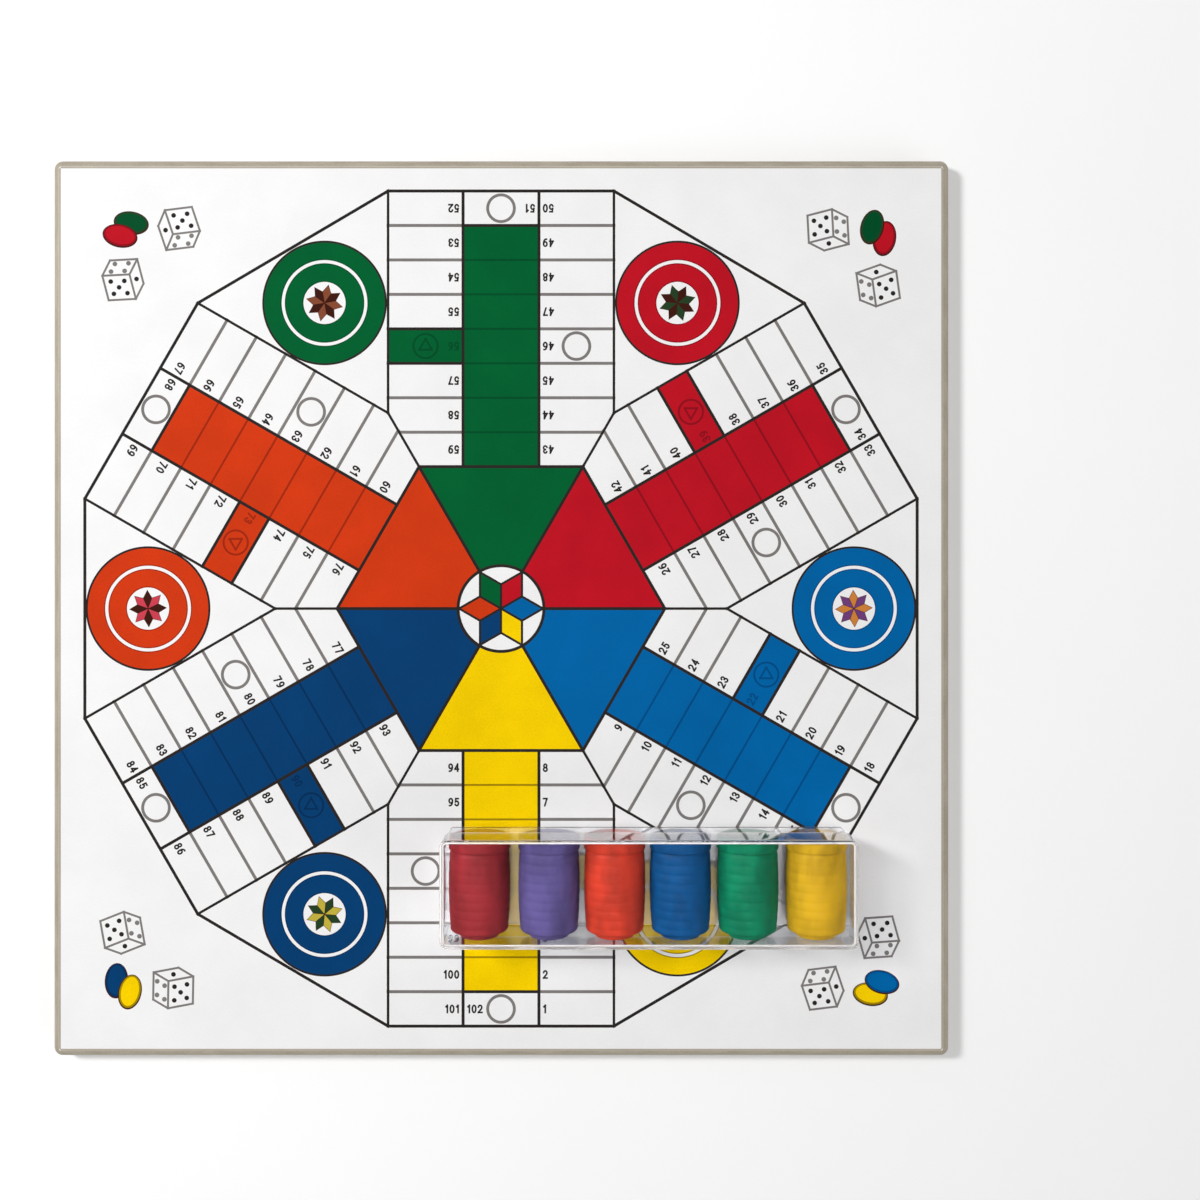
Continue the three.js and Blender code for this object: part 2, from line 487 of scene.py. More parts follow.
class Ink(Enum):
    """The inks of the two printed faces, as sRGB; the shades print lines on their own colour."""

    BLACK = (42, 38, 36)
    GREY = (122, 118, 116)
    GREEN = (0, 92, 46)
    RED = (184, 18, 34)
    SKY = (0, 96, 160)
    YELLOW = (242, 202, 0)
    NAVY = (6, 60, 110)
    ORANGE = (202, 56, 18)
    GREEN_SHADE = (0, 74, 38)
    RED_SHADE = (140, 14, 28)
    SKY_SHADE = (0, 74, 130)
    YELLOW_SHADE = (158, 128, 6)
    NAVY_SHADE = (4, 47, 88)
    ORANGE_SHADE = (154, 40, 16)
    BROWN = (130, 72, 48)
    UMBER = (60, 24, 16)
    ROSE = (196, 62, 78)
    PLUM = (112, 62, 122)
    AMBER = (206, 128, 58)
    OLIVE = (188, 170, 62)
    PINE = (36, 62, 36)
    PEACH = (245, 201, 175)
    TRIM = (172, 163, 148)
    PAPER = (236, 235, 235)

    def finish(self) -> CoatedPaper:
        """Returns the ink's own finish."""
        return CoatedPaper(f"print_{self.name.lower()}", self.value)


# Meshes


class Shell:
    """The vertices, in millimetres, and faces of one piece, gathered loop by loop."""

    def __init__(self) -> None:
        """Starts an empty shell."""
        self.vertices: list[Vector] = []
        self.faces: list[tuple[int, ...]] = []

    def loop(self, points: Iterable[Sequence[float]]) -> list[int]:
        """Adds the points of a loop.

        Args:
            points: The points, in millimetres.

        Returns:
            Their places in the shell.
        """
        first = len(self.vertices)
        self.vertices.extend(Vector(point) for point in points)
        return list(range(first, len(self.vertices)))

    def bridge(self, lower: Sequence[int], upper: Sequence[int]) -> None:
        """Joins two closed loops of as many points with a band of faces.

        Args:
            lower: The first loop.
            upper: The second loop.
        """
        for i, corner in enumerate(lower):
            after = (i + 1) % len(lower)
            self.faces.append((corner, lower[after], upper[after], upper[i]))

    def cap(self, loop: Sequence[int]) -> None:
        """Closes a loop with one flat face."""
        self.faces.append(tuple(loop))

    def fan(self, loop: Sequence[int], centre: Sequence[float]) -> None:
        """Closes a loop with triangles to a point in its middle."""
        (middle,) = self.loop([centre])
        self.faces.extend((loop[i - 1], loop[i], middle) for i in range(len(loop)))

    def piece(self, name: str, sharp: float = 40.0) -> bpy.types.Object:
        """Makes the shell's object, in metres, with its faces turned out.

        Args:
            name: The piece's name.
            sharp: The angle, in degrees, above which an edge stays sharp.

        Returns:
            The new object, in the scene.
        """
        mesh = bpy.data.meshes.new(name)
        mesh.from_pydata([vertex * MM for vertex in self.vertices], [], self.faces)
        work = bmesh.new()
        work.from_mesh(mesh)
        bmesh.ops.remove_doubles(work, verts=work.verts, dist=CUT_TOLERANCE * MM)
        bmesh.ops.recalc_face_normals(work, faces=work.faces)
        work.to_mesh(mesh)
        work.free()
        mesh.shade_smooth()
        mesh.set_sharp_from_angle(angle=math.radians(sharp))
        made = bpy.data.objects.new(name, mesh)
        bpy.context.scene.collection.objects.link(made)
        return made


def polar(centre: Point, reach: float, angle: float) -> Point:
    """Returns the place at a distance from a centre, in a direction in degrees."""
    way = math.radians(angle)
    return (centre[0] + reach * math.cos(way), centre[1] + reach * math.sin(way))


def arc(centre: Point, radius: float, start: float, end: float, steps: int) -> list[Point]:
    """Gives points on an arc.

    Args:
        centre: The arc's centre.
        radius: Its radius.
        start: The first point's angle, in degrees.
        end: The last point's angle, in degrees.
        steps: How many stretches the arc has.

    Returns:
        The points, both ends included.
    """
    turn = end - start
    return [polar(centre, radius, start + turn * i / steps) for i in range(steps + 1)]


def rounded_rectangle(length: float, width: float, radius: float, steps: int) -> list[Point]:
    """Gives a rectangle with round corners, about the origin.

    Args:
        length: Its size along x.
        width: Its size along y.
        radius: Its corner radius.
        steps: How many stretches each corner has.

    Returns:
        The outline's points, with one close to each end of an arc to keep the sides flat.
    """
    points: list[Point] = []
    for x_sign, y_sign, start in ((1, 1, 0), (-1, 1, 90), (-1, -1, 180), (1, -1, 270)):
        centre = (x_sign * (length / 2 - radius), y_sign * (width / 2 - radius))
        corner = arc(centre, radius, start, start + 90, steps)
        before = polar(corner[0], SUPPORT, start - 90)
        after = polar(corner[-1], SUPPORT, start + 180)
        points += [before, *corner, after]
    return points


@dataclass
class RoundedLoft:
    """A closed body of rounded rectangles, each set in from the outer one and at its own height."""

    length: float
    width: float
    radius: float
    centre: Point = (0.0, 0.0)
    corner_steps: int = 10
    least_radius: float = 0.05

    def build(self, name: str, section: Sequence[Point], sharp: float = 40.0) -> bpy.types.Object:
        """Sweeps a section round the rectangle and closes both ends with flat faces.

        Args:
            name: The piece's name.
            section: Pairs of inset and height, from the first end face to the last.
            sharp: The angle, in degrees, above which an edge stays sharp.

        Returns:
            The new object.
        """
        shell = Shell()
        last: list[int] = []
        for inset, height in section:
            radius = max(self.radius - inset, self.least_radius)
            outline = rounded_rectangle(
                self.length - 2 * inset, self.width - 2 * inset, radius, self.corner_steps
            )
            loop = shell.loop((x + self.centre[0], y + self.centre[1], height) for x, y in outline)
            if last:
                shell.bridge(last, loop)
            else:
                shell.cap(loop)
            last = loop
        shell.cap(last)
        return shell.piece(name, sharp)


def turned(
    name: str, profile: Sequence[Point], node: str, reach: float, segments: int, sharp: float = 40.0
) -> bpy.types.Object:
    """Turns a profile about a node's own axis, which lies along y.

    Args:
        name: The piece's name.
        profile: Pairs of radius and length along the axis; the first and last lie on the axis.
        node: The node whose middle the axis runs through.
        reach: How far before the node the profile starts.
        segments: How many faces go round the axis.
        sharp: The angle, in degrees, above which an edge stays sharp.

    Returns:
        The new object.
    """
    shell = Shell()
    low, high = box_mm(node)
    axis, start = ((low.x + high.x) / 2, (low.z + high.z) / 2), low.y - reach
    turns = [2 * math.pi * i / segments for i in range(segments)]
    circle = [(math.cos(turn), math.sin(turn)) for turn in turns]
    loops = [
        shell.loop((axis[0] + radius * c, start + along, axis[1] + radius * s) for c, s in circle)
        for radius, along in profile[1:-1]
    ]
    for lower, upper in zip(loops, loops[1:]):
        shell.bridge(lower, upper)
    shell.fan(loops[0], (axis[0], start + profile[0][1], axis[1]))
    shell.fan(loops[-1], (axis[0], start + profile[-1][1], axis[1]))
    return shell.piece(name, sharp)


def place_piece(
    piece: bpy.types.Object, finish: Finish, body: str, node: str | None = None
) -> bpy.types.Object:
    """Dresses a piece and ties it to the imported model.

    Args:
        piece: The new object.
        finish: Its finish.
        body: The body that it rides on.
        node: The node that it stands for, if any.

    Returns:
        The piece.
    """
    piece.data.materials.append(finish.material())
    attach(piece, body)
    if node:
        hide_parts(node)
    return piece


def box_mm(node: str) -> tuple[Vector, Vector]:
    """Returns a node's lowest and highest corner, in millimetres."""
    low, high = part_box(node)
    return low / MM, high / MM


# Print


@dataclass
class FlatPrint:
    """Flat triangles of one ink, in millimetres on a printed face."""

    points: list[Point] = field(default_factory=list)
    triangles: list[Triangle] = field(default_factory=list)

    def add(self, points: Sequence[Point], triangles: Iterable[Triangle]) -> None:
        """Adds triangles on points of their own.

        Args:
            points: The points.
            triangles: The triangles, by their places among these points.
        """
        first = len(self.points)
        self.points.extend(points)
        self.triangles.extend((a + first, b + first, c + first) for a, b, c in triangles)

    def film(self, name: str, thickness: float, face: Matrix, side: float) -> bpy.types.Object:
        """Makes a closed film of ink that lies on a printed face.

        Args:
            name: The piece's name.
            thickness: The film's thickness.
            face: Where the printed face lies.
            side: The face's size, which the film's flat map covers.

        Returns:
            The new object.
        """
        count = len(self.points)
        levels = [face @ Vector((x, y, z)) * MM for z in (0.0, thickness) for x, y in self.points]
        faces: list[tuple[int, ...]] = [(c, b, a) for a, b, c in self.triangles]
        faces += [(a + count, b + count, c + count) for a, b, c in self.triangles]
        edges = {edge for a, b, c in self.triangles for edge in ((a, b), (b, c), (c, a))}
        rim = sorted((a, b) for a, b in edges if (b, a) not in edges)
        faces += [(a, b, b + count, a + count) for a, b in rim]
        mesh = bpy.data.meshes.new(name)
        mesh.from_pydata(levels, [], faces)
        chart = mesh.uv_layers.new(name="OFBake")
        for loop in mesh.loops:
            x, y = self.points[loop.vertex_index % count]
            chart.data[loop.index].uv = (x / side + 0.5, y / side + 0.5)
        made = bpy.data.objects.new(name, mesh)
        bpy.context.scene.collection.objects.link(made)
        return made


class PrintLayout:
    """Flat shapes laid over one another, of which the last one painted shows."""

    def __init__(self) -> None:
        """Starts an empty layout."""
        self.outlines: list[np.ndarray] = []
        self.inks: list[Ink] = []

    def paint(self, ink: Ink, outline: Sequence[Point]) -> None:
        """Paints the inside of a convex outline.

        Args:
            ink: The shape's ink.
            outline: Its corners, in either direction.
        """
        area = sum(a[0] * b[1] - b[0] * a[1] for a, b in zip(outline, [*outline[1:], outline[0]]))
        self.outlines.append(np.array(outline if area > 0 else outline[::-1]))
        self.inks.append(ink)

    def disc(self, ink: Ink, centre: Point, radius: float) -> None:
        """Paints a disc, with more points the larger it is."""
        segments = max(20, min(120, round(radius * 4) * 2))
        self.paint(ink, arc(centre, radius, 0, 360, segments)[:-1])

    def ring(self, line: Ink, inside: Ink, centre: Point, radius: float, width: float) -> None:
        """Paints a disc with an outline, whose radius runs along the middle of the line."""
        self.disc(line, centre, radius + width / 2)
        self.disc(inside, centre, radius - width / 2)

    def stroke(self, ink: Ink, start: Point, end: Point, width: float) -> None:
        """Paints a straight line that runs half its width past both ends.

        Args:
            ink: The line's ink.
            start: Its first end.
            end: Its other end.
            width: Its width.
        """
        a, b = Vector(start), Vector(end)
        along = (b - a).normalized() * (width / 2)
        across = Vector((-along.y, along.x))
        corners = (a - along - across, b + along - across, b + along + across, a - along + across)
        self.paint(ink, [(corner.x, corner.y) for corner in corners])

    def ribbon(self, ink: Ink, points: Sequence[Point], width: float) -> None:
        """Paints a bent line with mitred bends; it closes where its ends meet.

        Args:
            ink: The line's ink.
            points: The line's middle.
            width: Its width; open ends run half of it past their points.
        """
        spots = [Vector(point) for point in points]
        ways = [(after - spot).normalized() for spot, after in zip(spots, spots[1:])]
        closed = (spots[0] - spots[-1]).length < CUT_TOLERANCE
        if closed:
            ways = [ways[-1], *ways, ways[0]]
        else:
            ways = [ways[0], *ways, ways[-1]]
            spots[0] -= ways[0] * (width / 2)
            spots[-1] += ways[-1] * (width / 2)
        sides = []
        for spot, before, after in zip(spots, ways, ways[1:]):
            bend = (before + after).normalized()
            across = Vector((-bend.y, bend.x)) * (width / 2 / bend.dot(after))
            sides.append((spot - across, spot + across))
        for (right, left), (next_right, next_left) in zip(sides, sides[1:]):
            self.paint(ink, [(each.x, each.y) for each in (right, next_right, next_left, left)])

    def border(self, ink: Ink, corners: Sequence[Point], width: float) -> None:
        """Paints a line all round a shape."""
        for i, corner in enumerate(corners):
            self.stroke(ink, corners[i - 1], corner, width)

    def topmost(self, places: np.ndarray) -> np.ndarray:
        """Finds which shape shows at each of some places; every shape is convex.

        Args:
            places: Pairs of x and y.

        Returns:
            The index of the last shape painted there, or -1 on bare paper.
        """
        owner = np.full(len(places), -1)
        for i, outline in enumerate(self.outlines):
            near = ((places >= outline.min(0)) & (places <= outline.max(0))).all(1).nonzero()[0]
            sides = np.roll(outline, -1, 0) - outline
            reach = places[near, None] - outline
            turn = sides[:, 0] * reach[..., 1] - sides[:, 1] * reach[..., 0]
            owner[near[(turn >= 0).all(1)]] = i
        return owner

    def separate(self) -> dict[Ink, FlatPrint]:
        """Cuts the layout along every outline and sorts what shows by ink.

        Returns:
            The flat print of each ink, without the bare paper.
        """
        corners = [Vector(point) for outline in self.outlines for point in outline]
        edges: list[tuple[int, int]] = []
        for outline in self.outlines:
            first, count = (edges[-1][0] + 1 if edges else 0), len(outline)
            edges += [(first + i, first + (i + 1) % count) for i in range(count)]
        points, _, triangles, *_ = delaunay_2d_cdt(corners, edges, [], 0, CUT_TOLERANCE)
        flat = np.array([point[:] for point in points])
        owners = self.topmost(flat[np.array(triangles)].mean(1))
        found: dict[Ink, list[Triangle]] = {}
        for triangle, owner in zip(triangles, owners):
            ink = self.inks[owner] if owner >= 0 else Ink.PAPER
            if ink is not Ink.PAPER:
                found.setdefault(ink, []).append(tuple(triangle))
        prints: dict[Ink, FlatPrint] = {}
        for ink in sorted(found, key=lambda each: each.name):
            used = sorted({corner for triangle in found[ink] for corner in triangle})
            place = {corner: i for i, corner in enumerate(used)}
            prints[ink] = FlatPrint(
                [(points[corner].x, points[corner].y) for corner in used],
                [tuple(place[corner] for corner in triangle) for triangle in found[ink]],
            )
        return prints


class Align(Enum):
    """Which end of a number stays at its place."""

    LEFT = 0.0
    CENTRE = 0.5
    RIGHT = 1.0


def oval(
    centre: Point, across: float, along: float, start: float, end: float, steps: int
) -> list[Point]:
    """Gives points on part of an upright oval.

    Args:
        centre: The oval's middle.
        across: Half its width.
        along: Half its height.
        start: The first point's angle, in degrees.
        end: The last point's angle, in degrees.
        steps: How many stretches it has.

    Returns:
        The points, both ends included.
    """
    circle = arc((0, 0), 1, start, end, steps)
    return [(centre[0] + across * x, centre[1] + along * y) for x, y in circle]


# Strokes of the ten figures, one unit high on a line at zero
FIGURE_STROKES: list[list[list[Point]]] = [
    [oval((0.29, 0.5), 0.29, 0.5, 0, 360, 20)],
    [[(0.06, 0.8), (0.28, 1.0)], [(0.28, 1.0), (0.28, 0.0)]],
    [[*oval((0.28, 0.71), 0.28, 0.29, 170, -35, 10), (0.0, 0.0)], [(0.0, 0.0), (0.58, 0.0)]],
    [oval((0.27, 0.75), 0.25, 0.25, 160, -90, 10), oval((0.27, 0.26), 0.29, 0.26, 90, -165, 10)],
    [[(0.44, 0.0), (0.44, 1.0)], [(0.44, 1.0), (0.0, 0.29)], [(0.0, 0.29), (0.58, 0.29)]],
    [
        [(0.52, 1.0), (0.12, 1.0)],
        [(0.12, 1.0), (0.06, 0.52)],
        oval((0.28, 0.32), 0.28, 0.32, 125, -155, 12),
    ],
    [oval((0.29, 0.31), 0.28, 0.31, 0, 360, 16), oval((0.42, 0.4), 0.41, 0.6, 185, 80, 8)],
    [[(0.0, 1.0), (0.56, 1.0)], [(0.56, 1.0), (0.2, 0.0)]],
    [oval((0.29, 0.75), 0.24, 0.25, 0, 360, 14), oval((0.29, 0.26), 0.29, 0.26, 0, 360, 16)],
    [oval((0.29, 0.69), 0.28, 0.31, 0, 360, 16), oval((0.16, 0.6), 0.41, 0.6, 5, -100, 8)],
]


@dataclass
class NumberType:
    """Plain bold figures, drawn with one stroke width."""

    height: float
    stroke: float = 0.19
    breadth: float = 0.84
    gap: float = 0.11

    def __post_init__(self) -> None:
        """Makes the ten figures once, standing on the line with their left edges at zero."""
        self.figures = [self._figure(strokes) for strokes in FIGURE_STROKES]

    def _figure(self, strokes: Sequence[Sequence[Point]]) -> FlatPrint:
        """Gives the flat shape of one figure.

        Args:
            strokes: The middle lines of its strokes, one unit high.

        Returns:
            Its points and triangles, at the type's height.
        """
        width = self.stroke * self.height
        size, half = self.height - width, width / 2
        layout = PrintLayout()
        for stroke in strokes:
            points = [(x * size * self.breadth + half, y * size + half) for x, y in stroke]
            layout.ribbon(Ink.BLACK, points, width)
        return layout.separate()[Ink.BLACK]

    def write(self, target: FlatPrint, number: int, place: Point, up: Point, align: Align) -> None:
        """Adds a number to a print.

        Args:
            target: The print that takes the figures.
            number: The number.
            place: The middle of the number's height, at the end that align names.
            up: The direction in which the figures stand.
            align: Which end of the number stays at its place.
        """
        figures = [self.figures[int(sign)] for sign in str(number)]
        widths = [max(x for x, _ in figure.points) for figure in figures]
        gap = self.gap * self.height
        start = -align.value * (sum(widths) + gap * (len(widths) - 1))
        for figure, width in zip(figures, widths):
            spots = [(x + start, y - self.height / 2) for x, y in figure.points]
            target.add([
                (place[0] + up[1] * x + up[0] * y, place[1] - up[0] * x + up[1] * y)
                for x, y in spots
            ], figure.triangles)
            start += width + gap


def star_points(
    centre: Point, radius: float, turn: float, rays: int, waist: float = 0.577
) -> list[list[Point]]:
    """Gives the kites of a star.

    Args:
        centre: The star's middle.
        radius: The reach of its rays.
        turn: The first ray's angle, in degrees.
        rays: How many rays it has.
        waist: How far out two rays part, as a share of their reach.

    Returns:
        Four corners for each ray, from the middle round by its tip.
    """
    half = 180 / rays
    side = radius * waist
    kites = []
    for angle in (turn + 2 * half * i for i in range(rays)):
        corners = [(0.0, 0.0), (side, angle - half), (radius, angle), (side, angle + half)]
        kites.append([polar(centre, reach, way) for reach, way in corners])
    return kites


PIP_PLACES: dict[int, list[Point]] = {
    1: [(0, 0)],
    2: [(-1, -1), (1, 1)],
    3: [(-1, -1), (0, 0), (1, 1)],
    4: [(-1, -1), (1, -1), (-1, 1), (1, 1)],
    5: [(-1, -1), (1, -1), (-1, 1), (1, 1), (0, 0)],
    6: [(-1, -1), (1, -1), (-1, 0), (1, 0), (-1, 1), (1, 1)],
}

# Spots on a die's faces, each with the face's outward normal and its two directions
DIE_FACES: list[tuple[int, Vector, Vector, Vector]] = [
    (5, Vector((0, 0, 1)), Vector((1, 0, 0)), Vector((0, 1, 0))),
    (2, Vector((0, 0, -1)), Vector((-1, 0, 0)), Vector((0, 1, 0))),
    (1, Vector((1, 0, 0)), Vector((0, 1, 0)), Vector((0, 0, 1))),
    (6, Vector((-1, 0, 0)), Vector((0, -1, 0)), Vector((0, 0, 1))),
    (4, Vector((0, 1, 0)), Vector((-1, 0, 0)), Vector((0, 0, 1))),
    (3, Vector((0, -1, 0)), Vector((1, 0, 0)), Vector((0, 0, 1))),
]


@dataclass(frozen=True)
class Player:
    """One player's colours on the track, with the colours of the star in the player's home."""

    ink: Ink
    shade: Ink
    star: tuple[Ink, Ink]


PLAYERS = (
    Player(Ink.YELLOW, Ink.YELLOW_SHADE, (Ink.RED, Ink.UMBER)),
    Player(Ink.SKY, Ink.SKY_SHADE, (Ink.PLUM, Ink.AMBER)),
    Player(Ink.RED, Ink.RED_SHADE, (Ink.PINE, Ink.UMBER)),
    Player(Ink.GREEN, Ink.GREEN_SHADE, (Ink.BROWN, Ink.UMBER)),
    Player(Ink.ORANGE, Ink.ORANGE_SHADE, (Ink.ROSE, Ink.UMBER)),
    Player(Ink.NAVY, Ink.NAVY_SHADE, (Ink.OLIVE, Ink.PINE)),
)


# Drawings in the corners of the track, each with its middle and its turn or tilt
DRAWN_DICE: list[tuple[Point, float]] = [
    ((-143.4, 169.3), 187), ((-168.4, 146.5), 3), ((145.7, 168.7), 273), ((168.0, 143.9), 98),
    ((-168.6, -144.4), 280), ((-146.0, -169.0), 89), ((168.1, -146.4), 184), ((143.3, -169.1), 7),
]
DRAWN_COUNTERS: list[tuple[Point, float, Ink, Ink]] = [
    ((-164.7, 171.9), -10, Ink.GREEN_SHADE, Ink.PINE),
    ((-169.7, 166.2), -12, Ink.RED, Ink.RED_SHADE),
    ((170.8, 165.0), 80, Ink.RED, Ink.RED_SHADE),
    ((165.3, 170.1), 75, Ink.GREEN_SHADE, Ink.PINE),
    ((-171.3, -165.6), 85, Ink.NAVY, Ink.NAVY_SHADE),
    ((-165.3, -170.6), 77, Ink.YELLOW, Ink.YELLOW_SHADE),
    ((164.5, -171.6), -10, Ink.YELLOW, Ink.YELLOW_SHADE),
    ((169.7, -166.2), -15, Ink.SKY, Ink.SKY_SHADE),
]


@dataclass
class TrackPrint:
    """The six-arm race track, its homes, its numbers and the small drawings in the corners."""

    side: float
    trim: float = 0.9
    trim_gap: float = 0.1
    trim_cut: float = 1.1
    arm_reach: Pair = (186.0, 185.0)
    row: Pair = (15.35, 15.1)
    arm_half: float = 50.3
    lane_half: float = 16.9
    rows: int = 8
    start_row: int = 5
    hexagon_radius: float = 73.0
    fork_radius: float = 100.5
    home_distance: float = 157.2
    home_radius: float = 27.3
    home_ring: Pair = (17.7, 19.1)
    home_eye: float = 9.4
    star_radius: float = 8.2
    star_rays: int = 8
    star_turn: float = -12.5
    star_waist: float = 0.62
    hub_radius: float = 19.1
    hub_star: float = 18.7
    rest_radius: float = 5.95
    mark_radius: float = 5.4
    mark_share: float = 0.6
    bold_line: float = 1.35
    fork_line: float = 1.1475
    hub_line: float = 1.0125
    cell_line: float = 1.35
    lane_line: float = 0.9
    ring_line: float = 1.3
    home_line: float = 0.9
    thin_line: float = 0.5
    star_line: float = 0.2
    figure_height: float = 3.9
    figure_gap: float = 1.7
    die_drawing: float = 12.9
    die_tilt: Pair = (31.0, -20.0)
    least_slant: float = 0.05
    pip_radius: float = 1.05
    pip_spread: float = 0.5
    counter_drawing: Pair = (7.9, 5.2)
    layout: PrintLayout = field(default_factory=PrintLayout)

    def __post_init__(self) -> None:
        """Works out what follows from the sizes."""
        self.apothem = self.hexagon_radius * math.cos(math.pi / 6)
        self.figures = {Ink.BLACK: FlatPrint()}

    @staticmethod
    def heading(arm: int) -> float:
        """Returns the direction of an arm, in degrees; arms go round from the lower one."""
        return 270.0 + 60.0 * arm

    def spot(self, arm: int, across: float, out: float) -> Point:
        """Finds a place on an arm.

        Args:
            arm: Which arm.
            across: The distance to the right of the arm's axis.
            out: The distance from the hub along it.

        Returns:
            The place on the sheet.
        """
        angle = math.radians(self.heading(arm))
        outward = (math.cos(angle), math.sin(angle))
        right = (-outward[1], outward[0])
        return (outward[0] * out + right[0] * across, outward[1] * out + right[1] * across)

    def panel(self, arm: int, left: float, right: float, low: float, high: float) -> list[Point]:
        """Returns the corners of a panel on an arm, by distances across it and from the hub."""
        places = ((left, low), (right, low), (right, high), (left, high))
        return [self.spot(arm, across, out) for across, out in places]

    def row_line(self, arm: int, row: float) -> float:
        """Returns how far from the hub a row of an arm starts, counted from the outer end."""
        slanting = min(1, arm % 3)
        return self.arm_reach[slanting] - self.row[slanting] * row

    def paint_trim(self) -> None:
        """Paints a narrow strip in the panel's tone along the sheet's edge."""
        half = self.side / 2
        edge, inner, cut = half - self.trim_gap, half - self.trim, half - self.trim_cut
        strip = [(inner, -inner), (edge, -cut), (edge, cut), (inner, inner)]
        corner = [(inner, inner), (edge, cut), (cut, edge)]
        for right, up in ((1, 0), (0, 1), (-1, 0), (0, -1)):
            for shape in (strip, corner):
                place = [(x * right - y * up, x * up + y * right) for x, y in shape]
                self.layout.paint(Ink.TRIM, place)

    def fill_arm(self, arm: int) -> None:
        """Paints an arm's coloured lane, start square and share of the hexagon.

        Args:
            arm: Which arm.
        """
        ink, paint = PLAYERS[arm].ink, self.layout.paint
        lane, inner, corner = self.lane_half, self.apothem, self.hexagon_radius / 2
        paint(ink, self.panel(arm, -lane, lane, inner, self.row_line(arm, 1)))
        paint(ink, [(0.0, 0.0), self.spot(arm, corner, inner), self.spot(arm, -corner, inner)])
        low, high = self.row_line(arm, self.start_row), self.row_line(arm, self.start_row - 1)
        paint(ink, self.panel(arm, lane, self.arm_half, low, high))

    def rule_cells(self, arm: int) -> None:
        """Draws the lines between an arm's squares.

        Args:
            arm: Which arm.
        """
        shade = PLAYERS[arm].shade
        for row in range(1, self.rows):
            out = self.row_line(arm, row)
            edge = min(self.arm_half, out * math.tan(math.pi / 6))
            for side in (-1, 1):
                start, end = (self.spot(arm, side * x, out) for x in (self.lane_half, edge))
                self.layout.stroke(Ink.GREY, start, end, self.cell_line)
            if row > 1:
                ends = [self.spot(arm, side * self.lane_half, out) for side in (-1, 1)]
                self.layout.stroke(shade, ends[0], ends[1], self.lane_line)

    def rule_arm(self, arm: int) -> None:
        """Draws an arm's bold lines, and those that it shares with the next arm.

        Args:
            arm: Which arm.
        """
        bold, fork = self.bold_line, self.fork_radius * math.cos(math.pi / 6)
        lane, edge, half = self.lane_half, self.arm_half, self.hexagon_radius / 2
        inner, end, outer = self.apothem, self.row_line(arm, 0), self.row_line(arm, 1)

        def rule(width: float, *ends: Point) -> None:
            """Draws a black line between two places on the arm."""
            self.layout.stroke(Ink.BLACK, *(self.spot(arm, *place) for place in ends), width)

        for side in (-1, 1):
            rule(self.fork_line, (side * edge, end), (side * edge, fork))
            rule(bold, (side * lane, inner), (side * lane, end))
        rule(bold, (-edge, end), (edge, end))
        rule(bold, (-lane, outer), (lane, outer))
        for row in (self.start_row - 1, self.start_row):
            out = self.row_line(arm, row)
            rule(bold, (lane, out), (edge, out))
        rule(bold, (-half, inner), (half, inner))
        rule(bold, (0.0, 0.0), (half, inner))
        rule(self.fork_line, (half, inner), (self.fork_radius / 2, fork))
        following = self.spot(arm + 1, -edge, self.row_line(arm + 1, 0))
        self.layout.stroke(Ink.BLACK, self.spot(arm, edge, end), following, bold)

    def mark_rests(self, arm: int) -> None:
        """Draws the rings of an arm's safe squares and the mark of its start square.

        Args:
            arm: Which arm.
        """
        shade, ink = PLAYERS[arm].shade, PLAYERS[arm].ink
        column = (self.lane_half + self.arm_half) / 2
        out = self.row_line(arm, self.start_row - 0.5)
        for place in ((0.0, self.row_line(arm, 0.5)), (-column, out)):
            rest = self.spot(arm, *place)
            self.layout.ring(Ink.GREY, Ink.PAPER, rest, self.rest_radius, self.ring_line)
        middle = self.spot(arm, column, out)
        self.layout.ring(shade, ink, middle, self.mark_radius, self.lane_line)
        turns = [self.heading(arm) + way for way in (0, 120, 240)]
        corners = [polar(middle, self.mark_radius * self.mark_share, turn) for turn in turns]
        self.layout.border(shade, corners, self.lane_line)

    def paint_home(self, arm: int) -> None:
        """Paints the round home that stands to the right of an arm.

        Args:
            arm: Which arm.
        """
        home, layout, line = PLAYERS[arm], self.layout, self.thin_line
        centre = polar((0.0, 0.0), self.home_distance, self.heading(arm) + 30)
        layout.ring(Ink.BLACK, home.ink, centre, self.home_radius, self.home_line)
        low, high = self.home_ring
        layout.ring(home.shade, Ink.PAPER, centre, high + line / 2, line)
        layout.ring(home.shade, home.ink, centre, low - line / 2, line)
        layout.ring(home.shade, Ink.PAPER, centre, self.home_eye + line / 2, line)
        turn = self.star_turn + 60.0 * arm
        rays = star_points(centre, self.star_radius, turn, self.star_rays, self.star_waist)
        for i, kite in enumerate(rays):
            layout.paint(home.star[i % 2], kite)
        for kite in rays:
            layout.border(Ink.UMBER, kite, self.star_line)

    def paint_hub(self) -> None:
        """Paints the white hub with its six rhombuses, one in each player's colour."""
        self.layout.ring(Ink.BLACK, Ink.PAPER, (0.0, 0.0), self.hub_radius, self.bold_line)
        rhombuses = star_points((0.0, 0.0), self.hub_star, 300.0, len(PLAYERS))
        for player, rhombus in zip(PLAYERS, rhombuses):
            self.layout.paint(player.ink, rhombus)
        for rhombus in rhombuses:
            self.layout.border(Ink.BLACK, rhombus, self.hub_line)

